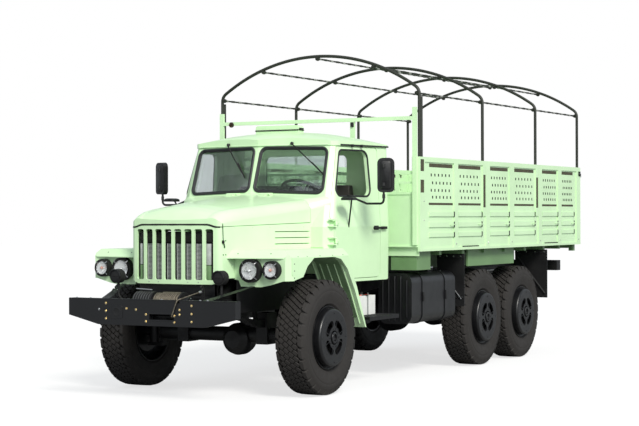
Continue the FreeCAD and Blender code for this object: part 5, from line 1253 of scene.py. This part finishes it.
# ---------------------------------------------------------------- side gear
class TRUCK_OT_tank_fittings(bpy.types.Operator):
    """Pressed ribs, strap ends and filler cap of the fuel tank, and the locker's lid"""

    bl_idname = "truck.tank_fittings"
    bl_label = "Tank fittings"

    def execute(self, context):
        form = Form()
        for k in range(5):
            x = 0.815 + 0.070 * k
            low = 0.600 if 0 < k < 4 else 0.640
            rib = ((1.800, low), (1.793, low + 0.03), (1.793, 1.640 - low), (1.800, 1.670 - low))
            form.tube([at(x, y, z) for y, z in rib], 0.009, "satin_black", 8)
        for y in (2.070, 2.640):
            form.bolt(at(1.160, y, 0.85), (1, 0, 0), 0.010, "bright_steel")
            form.box(at(1.158, y - 0.020, 0.80), at(1.168, y + 0.020, 0.90), "chassis_black", 0.003)
        cap = at(0.950, 2.650, 1.134)
        form.lathe([(0.0, 0.044), (0.004, 0.048), (0.016, 0.048), (0.020, 0.042), (0.020, 0.0)], cap, UP,
                   "bright_steel", 24)
        form.box((-0.008, -0.040, 0.018), (0.008, 0.040, 0.030), "bright_steel", 0.003, cap)
        form.tube([at(0.95, 2.60, 1.13), at(0.98, 2.57, 1.115), at(0.99, 2.54, 1.103)], 0.0022,
                  "bright_steel", 6)
        # locker on the other side
        form.box(at(-1.156, 1.975, 1.03), at(-1.150, 2.825, 1.06), "chassis_black", 0.002)
        for y in (2.15, 2.65):
            form.box(at(-1.168, y - 0.02, 0.97), at(-1.150, y + 0.02, 1.05), "bright_steel", 0.003)
        lid = rectangle(1.98, 0.67, 2.82, 1.02, 0.0)
        form.tube([at(-1.152, y, z) for y, z, _ in lid], 0.005, "chassis_black", 6, closed=True)
        form.piece("tank_fittings", "chassis", "black_paint")
        return {"FINISHED"}


STEP_TOP = 0.7005
BATTERY_TOP = 0.903
LEAD = ((0.820, 0.0, 0.918), (0.79, 0.0, 0.925), (0.74, 0.02, 0.915), (0.70, 0.03, 0.86), (0.62, 0.03, 0.82))


class TRUCK_OT_step_fittings(bpy.types.Operator):
    """Raised tread of the steps and the battery's clamp, caps and leads"""

    bl_idname = "truck.step_fittings"
    bl_label = "Step fittings"

    def execute(self, context):
        form = Form()
        for s in (1.0, -1.0):
            for i in range(6):
                for k in range(20):
                    x = 0.965 + 0.030 * i + (0.006 if k % 2 else 0.0)
                    y = 0.875 + 0.031 * k
                    lean = 0.010 if (i + k) % 2 else -0.010
                    form.rod(at(s * x, y - 0.009, STEP_TOP), at(s * (x + lean), y + 0.009, STEP_TOP), 0.0026,
                             "chassis_black", 5)
        form.box(at(0.690, 1.165, 0.893), at(0.950, 1.205, BATTERY_TOP), "chassis_black", 0.002)
        for x in (0.688, 0.952):
            form.rod(at(x, 1.185, 0.700), at(x, 1.185, 0.925), 0.005, "bright_steel", 8)
            form.bolt(at(x, 1.185, BATTERY_TOP), UP, 0.008, "bright_steel")
        for y, tone in ((1.090, "cap_red"), (1.290, "trim_plastic")):
            form.lathe([(0.0, 0.017), (0.020, 0.017), (0.026, 0.010), (0.027, 0.0)],
                       at(0.820, y, BATTERY_TOP), UP,
                       tone, 16)
            form.tube([at(x, y + back, z) for x, back, z in LEAD], 0.008, tone, 8)
        for k in range(6):
            form.lathe([(0.0, 0.013), (0.006, 0.012), (0.008, 0.0)], at(0.880, 1.06 + 0.052 * k, 0.895), UP,
                       "cap_red", 12)
        lid = rectangle(0.702, 1.012, 0.938, 1.368, 0.865)
        form.tube([at(*p) for p in lid], 0.003, "case_white", 6, closed=True)
        form.piece("step_fittings", "chassis", "black_paint")
        return {"FINISHED"}


FLAP_BARS = ((3.055, 0.860, 1.190), (5.500, 0.800, 1.225))     # y, x from, x to
TAIL_LENSES = ((-0.060, "lens_red"), (0.0, "lens_amber"), (0.060, "lens_red"))


class TRUCK_OT_flap_fittings(bpy.types.Operator):
    """Stay rods and clamping bars of the mud flaps, and the tail lamps"""

    bl_idname = "truck.flap_fittings"
    bl_label = "Flap fittings"

    def execute(self, context):
        form = Form()
        for s in (1.0, -1.0):
            form.rod(at(s * 0.90, 3.050, 1.10), at(s * 1.16, 3.046, 0.78), 0.006, "bright_steel", 8)
            form.rod(at(s * 0.88, 3.048, 0.80), at(s * 1.18, 3.046, 0.80), 0.006, "bright_steel", 8)
            for y, x0, x1 in FLAP_BARS:
                form.side_box(s, at(x0, y - 0.006, 1.235), at(x1, y, 1.275), "chassis_black", 0.002)
                for k in range(4):
                    form.bolt(at(s * (x0 + 0.04 + (x1 - x0 - 0.08) * k / 3), y - 0.006, 1.255), FRONT, 0.007,
                              "bright_steel")
            form.rod(at(s * 0.83, 5.494, 1.20), at(s * 1.20, 5.494, 0.74), 0.012, "chassis_black", 8)
            for dx, tone in TAIL_LENSES:
                lamp = at(s * 0.88 + dx, 6.482, 1.065)
                form.lathe([(0.0, 0.028), (0.010, 0.028), (0.020, 0.022), (0.024, 0.0)], lamp, BACK, tone, 20)
                form.lathe([(-0.002, 0.032), (0.008, 0.032), (0.010, 0.028)], lamp, BACK, "trim_plastic", 20)
        form.piece("flap_fittings", "chassis", "rubber")
        return {"FINISHED"}


AIR_TANKS = ((-0.620, 1.150, 0.930), (-0.700, 5.270, 1.000))


class TRUCK_OT_underside(bpy.types.Operator):
    """Shock absorbers, pipes along the rails and air tanks under the truck"""

    bl_idname = "truck.underside"
    bl_label = "Underside"

    def execute(self, context):
        form = Form()
        for s in (1.0, -1.0):
            for y in (-0.33, 0.33):
                top, low = at(s * 0.448, y, 1.040), at(s * 0.448, y * 0.55, 0.690)
                form.rod(low, low.lerp(top, 0.55), 0.026, "chassis_black", 16)
                form.rod(low.lerp(top, 0.45), top, 0.033, "satin_black", 16)
            for z, radius, tone in ((1.06, 0.009, "chassis_black"), (1.02, 0.006, "bright_steel")):
                form.tube([at(s * 0.445, 0.55 + 0.3 * k, z) for k in range(18)], radius, tone, 8)
        for place in AIR_TANKS:
            form.lathe([(0.0, 0.0), (0.0, 0.07), (0.02, 0.10), (0.55, 0.10), (0.57, 0.07), (0.57, 0.0)],
                       at(*place),
                       BACK, "chassis_black", 28)
        form.piece("underside_fittings", "chassis", "black_paint")
        return {"FINISHED"}


# ---------------------------------------------------------------- load bed
BAYS = ((2.060, 2.680), (2.810, 3.440), (3.690, 4.245), (4.415, 5.060), (5.315, 5.835), (5.990, 6.420))
POSTS = ((2.690, 2.795), (3.565, 3.680), (4.265, 4.405), (5.185, 5.300), (5.850, 5.975), (6.520, 6.660))
FOOTHOLDS = ((2.916, 3.357), (5.394, 5.842))
RIBS = ((1.700, 1.750), (1.585, 1.640), (1.480, 1.527))
# z from, z to and finish of the painted shade behind the slots
SLOT_SHADES = ((1.812, 1.853, "rope_olive"), (1.880, 2.165, "void_black"), (2.214, 2.270, "rope_olive"))
BED_SIDE = 1.240
# x from and x to of the painted shade in the hoop windows
SOCKET_SHADE_X = (1.2328, 1.2375)
TIE_LOOP = ((-0.05, 0.0), (-0.05, 0.022), (-0.03, 0.030), (0.03, 0.030), (0.05, 0.022), (0.05, 0.0))
HOOP_PLACES = (1.860, 3.520, 5.140, 6.600)


class TRUCK_OT_bed_fittings(bpy.types.Operator):
    """Tie loops and bolts along the bed's sides, with painted shade behind the slots, at the rib ends, in the
    footholds and in the hoop windows
    """

    bl_idname = "truck.bed_fittings"
    bl_label = "Bed fittings"

    def execute(self, context):
        form = Form()
        for s in (1.0, -1.0):
            def slab(y0, y1, z0, z1, tone, near=BED_SIDE - 0.004, far=BED_SIDE, s=s):
                form.side_box(s, at(near, y0, z0), at(far, y1, z1), tone)
            for low, high in BAYS:
                # dark sheets inside the side: painted shade seen through the air holes and slots
                for z0, z1, tone in SLOT_SHADES:
                    slab(low + 0.004, high - 0.004, z0, z1, tone, BED_SIDE - 0.0165, BED_SIDE - 0.0128)
                # black strip at each rib's rear end: painted shadow in the gap by the post
                for z0, z1 in RIBS:
                    slab(high - 0.004, high + 0.018, z0 - 0.006, z1 + 0.002, "void_black",
                         far=BED_SIDE + 0.0025)
                loop = [at(s * (BED_SIDE + out - 0.004), high - 0.05 + along, 1.612)
                        for along, out in TIE_LOOP]
                form.tube(loop, 0.005, "mint_paint", 8)
            # dark olive in the windows over the hoops' sockets: painted shade
            for y in HOOP_PLACES[1:3]:
                slab(y - 0.0335, y + 0.0335, 1.801, 2.169, "rope_olive", *SOCKET_SHADE_X)
            for z0, z1 in ((1.951, 2.084), (2.176, 2.299)):
                slab(1.835, 1.924, z0, z1, "rope_olive", *SOCKET_SHADE_X)
            # black strip in each foothold: painted shade of its recess
            for y0, y1 in FOOTHOLDS:
                slab(y0, y1, 1.363, 1.374, "void_black", far=BED_SIDE + 0.001)
            for low, high in POSTS:
                form.bolt(at(s * BED_SIDE, (low + high) / 2, 1.400), (s, 0, 0), 0.007, "bright_steel")
            for z in (1.66, 1.86):
                form.bolt(at(s * BED_SIDE, 1.915, z), (s, 0, 0), 0.006, "bright_steel")
        form.piece("bed_fittings", "chassis", "green_paint")
        return {"FINISHED"}


GATE_SHEET = 6.639
GATE_EYE_X, GATE_EYE_Z = 0.985, 2.190
LATCH = ((0.010, 6.600, 2.245), (0.014, 6.640, 2.245), (0.010, 6.650, 2.200))      # out, y, z


class TRUCK_OT_gate_fittings(bpy.types.Operator):
    """Eyes and rivets of the tailgate, and the latches beside it"""

    bl_idname = "truck.gate_fittings"
    bl_label = "Tailgate fittings"

    def execute(self, context):
        form = Form()
        latch = Form()
        for s in (1.0, -1.0):
            eye = at(s * GATE_EYE_X, GATE_SHEET, GATE_EYE_Z)
            form.box((-0.030, -0.001, -0.040), (0.030, 0.006, 0.040), "chassis_black", 0.002, eye)
            for z in (-0.025, 0.025):
                form.bolt(eye + Vector((0, 0.006, z)), BACK, 0.007, "bright_steel")
            ring = circle(eye + BACK * 0.011, UP, Vector((1, 0, 0)), 0.016, 16)
            form.tube(ring, 0.004, "bright_steel", 6, closed=True)
            for x in (0.18, 0.55, 0.92):
                for z in (1.555, 1.665):
                    form.rivet(at(s * x, GATE_SHEET, z), BACK, sizes().rivet_radius, "mint_paint")
            latch.side_box(s, at(BED_SIDE, 6.585, 2.215), at(BED_SIDE + 0.008, 6.650, 2.275), "chassis_black",
                           0.002)
            latch.tube([at(s * (BED_SIDE + out), y, z) for out, y, z in LATCH], 0.005, "bright_steel", 8)
        form.piece("gate_fittings", "tailgate", "grey_metal")
        latch.piece("gate_latches", "chassis", "grey_metal")
        return {"FINISHED"}


ARC_CENTRE, ARC_R = 1.375, 2.0337              # height and radius of the arc on which the long rails lie
EAVES = (1.1894, 2.995)
RAIL_R = 0.0095
WRAPS = 34


class TRUCK_OT_hoop_ties(bpy.types.Operator):
    """Lashings where the long rails cross the hoops, and the rails' bound wraps"""

    bl_idname = "truck.hoop_ties"
    bl_label = "Hoop ties"

    def execute(self, context):
        form = Form()
        turns = [math.radians(a) for a in (-19.5, 0.0, 19.5)]
        spots = [(ARC_R * math.sin(a), ARC_CENTRE + ARC_R * math.cos(a)) for a in turns]
        for x, z in spots + [EAVES, (-EAVES[0], EAVES[1])]:
            for k in range(WRAPS):
                form.lathe([(-0.030, RAIL_R), (-0.028, RAIL_R + 0.002), (0.028, RAIL_R + 0.002),
                            (0.030, RAIL_R)],
                           at(x, 1.90 + 0.14 * k, z), BACK, "tube_olive" if k % 2 else "linen_tie", 10)
            for y in HOOP_PLACES:
                form.lathe([(-0.020, 0.020), (-0.008, 0.0225), (0.008, 0.0225), (0.020, 0.020)], at(x, y, z),
                           BACK,
                           "tube_olive", 14)
        form.piece("hoop_ties", "chassis", "dark_tube")
        return {"FINISHED"}


# ---------------------------------------------------------------- stage
EYE = (8.717, -13.898, 1.705)
LENS, SENSOR = 93.72, 36.0
AIM_TURN, AIM_RISE, AIM_ROLL = 28.90, 90.111, -0.155
WHITE = (1.0, 1.0, 1.0, 1.0)
SKY, SKY_STRENGTH = (0.86, 0.93, 1.0, 1.0), 0.62
FLOOR, FLOOR_GLOW, FLOOR_HALF, FLOOR_Z = (0.30, 0.30, 0.30, 1.0), 0.70, 60, -0.0005
LIGHTS = (                  # name, kind, energy, size, place, target, colour
    ("sun", "SUN", 2.8, 0.30, (8.5, -6.5, 10.0), (0, 0, 1.0), (1.0, 0.97, 0.90)),
    ("fill", "AREA", 420.0, 7.0, (9.0, -9.0, 7.0), (0, 0, 1.5), (0.95, 0.98, 1.0)),
)


def cleared(owner):
    """The node tree of a material or world, empty."""
    owner.use_nodes = True
    owner.node_tree.nodes.clear()
    return owner.node_tree


def seen(tree):
    """Socket that is 1 for rays from the camera, also through glass."""
    path = wired(tree, "LightPath", {}, {}).outputs
    either = wired(tree, "Math", {}, {0: path["Is Camera Ray"], 1: path["Is Transmission Ray"]})
    either.operation = "MAXIMUM"
    return either.outputs["Value"]


def add_surround(scene):
    scene.world = bpy.data.worlds.new("surround")
    tree = cleared(scene.world)
    lit = wired(tree, "Background", {"Color": SKY, "Strength": SKY_STRENGTH}, {}).outputs[0]
    white = wired(tree, "Background", {"Color": WHITE, "Strength": 1.0}, {}).outputs[0]
    mix = wired(tree, "MixShader", {}, {0: seen(tree), 1: lit, 2: white})
    wired(tree, "OutputWorld", {}, {"Surface": mix.outputs["Shader"]})


def add_floor(scene):
    mesh = bpy.data.meshes.new("floor")
    corners = [(x, y, 0) for x, y, _ in rectangle(-FLOOR_HALF, -FLOOR_HALF, FLOOR_HALF, FLOOR_HALF, 0)]
    mesh.from_pydata(corners, [], [(0, 1, 2, 3)])
    floor = bpy.data.objects.new("floor", mesh)
    floor.location.z = FLOOR_Z
    scene.collection.objects.link(floor)
    mat = bpy.data.materials.new("floor")
    tree = cleared(mat)
    body = wired(tree, "BsdfDiffuse", {"Color": FLOOR}, {}).outputs["BSDF"]
    gain = wired(tree, "Math", {1: FLOOR_GLOW}, {0: seen(tree)})
    gain.operation = "MULTIPLY"
    glow = wired(tree, "Emission", {"Color": WHITE}, {"Strength": gain.outputs["Value"]}).outputs["Emission"]
    both = wired(tree, "AddShader", {}, {0: body, 1: glow})
    wired(tree, "OutputMaterial", {}, {"Surface": both.outputs["Shader"]})
    mesh.materials.append(mat)


class TRUCK_OT_stage(bpy.types.Operator):
    """Pale floor, white surround, soft lamps and the camera"""

    bl_idname = "truck.stage"
    bl_label = "Stage"

    def execute(self, context):
        scene = context.scene
        camera = bpy.data.objects.new("camera", bpy.data.cameras.new("camera"))
        scene.collection.objects.link(camera)
        camera.data.lens = LENS
        camera.data.sensor_width = SENSOR
        aim = Matrix.Translation(at(*EYE))
        for turn, axis in ((AIM_TURN, "Z"), (AIM_RISE, "X"), (AIM_ROLL, "Z")):
            aim = aim @ Matrix.Rotation(math.radians(turn), 4, axis)
        camera.matrix_world = aim
        scene.camera = camera
        scene.view_settings.view_transform = "Standard"
        add_surround(scene)
        add_floor(scene)
        for name, kind, energy, size, spot, target, colour in LIGHTS:
            light = bpy.data.lights.new(name, kind)
            light.energy = energy
            light.color = colour
            setattr(light, "angle" if kind == "SUN" else "size", size)
            obj = bpy.data.objects.new(name, light)
            scene.collection.objects.link(obj)
            obj.location = spot
            obj.rotation_euler = (Vector(target) - Vector(spot)).to_track_quat("-Z", "Y").to_euler()
        return {"FINISHED"}


# ---------------------------------------------------------------- panel
PIECES = (
    TRUCK_OT_finishes, TRUCK_OT_tyres, TRUCK_OT_wheel_fittings, TRUCK_OT_bumper_fittings,
    TRUCK_OT_winch_dressing,
    TRUCK_OT_radiator, TRUCK_OT_lamps, TRUCK_OT_nose_fittings, TRUCK_OT_wing_fittings,
    TRUCK_OT_window_rubbers,
    TRUCK_OT_wipers, TRUCK_OT_cab_fittings, TRUCK_OT_seats, TRUCK_OT_controls, TRUCK_OT_mirror_fittings,
    TRUCK_OT_roof_fittings, TRUCK_OT_tank_fittings, TRUCK_OT_step_fittings, TRUCK_OT_flap_fittings,
    TRUCK_OT_underside, TRUCK_OT_bed_fittings, TRUCK_OT_gate_fittings, TRUCK_OT_hoop_ties, TRUCK_OT_stage,
)


class TRUCK_PT_panel(bpy.types.Panel):
    """Settings and pieces of the truck"""

    bl_idname = "TRUCK_PT_panel"
    bl_label = "Truck"
    bl_space_type = "VIEW_3D"
    bl_region_type = "UI"
    bl_category = "Truck"

    def draw(self, context):
        layout = self.layout
        for group in (context.scene.truck_finish, context.scene.truck_sizes):
            column = layout.column(align=True)
            for name in group.bl_rna.properties.keys():
                if name not in {"rna_type", "name"}:
                    column.prop(group, name)
        for piece in PIECES:
            layout.operator(piece.bl_idname)


CLASSES = (TruckFinish, TruckSizes) + PIECES + (TRUCK_PT_panel,)


def register():
    for cls in CLASSES:
        bpy.utils.register_class(cls)
    bpy.types.Scene.truck_finish = bpy.props.PointerProperty(type=TruckFinish)
    bpy.types.Scene.truck_sizes = bpy.props.PointerProperty(type=TruckSizes)


def unregister():
    del bpy.types.Scene.truck_sizes
    del bpy.types.Scene.truck_finish
    for cls in reversed(CLASSES):
        bpy.utils.unregister_class(cls)


def main():
    register()
    for piece in PIECES:
        group, name = piece.bl_idname.split(".")
        getattr(getattr(bpy.ops, group), name)()


if __name__ == "__main__":
    main()
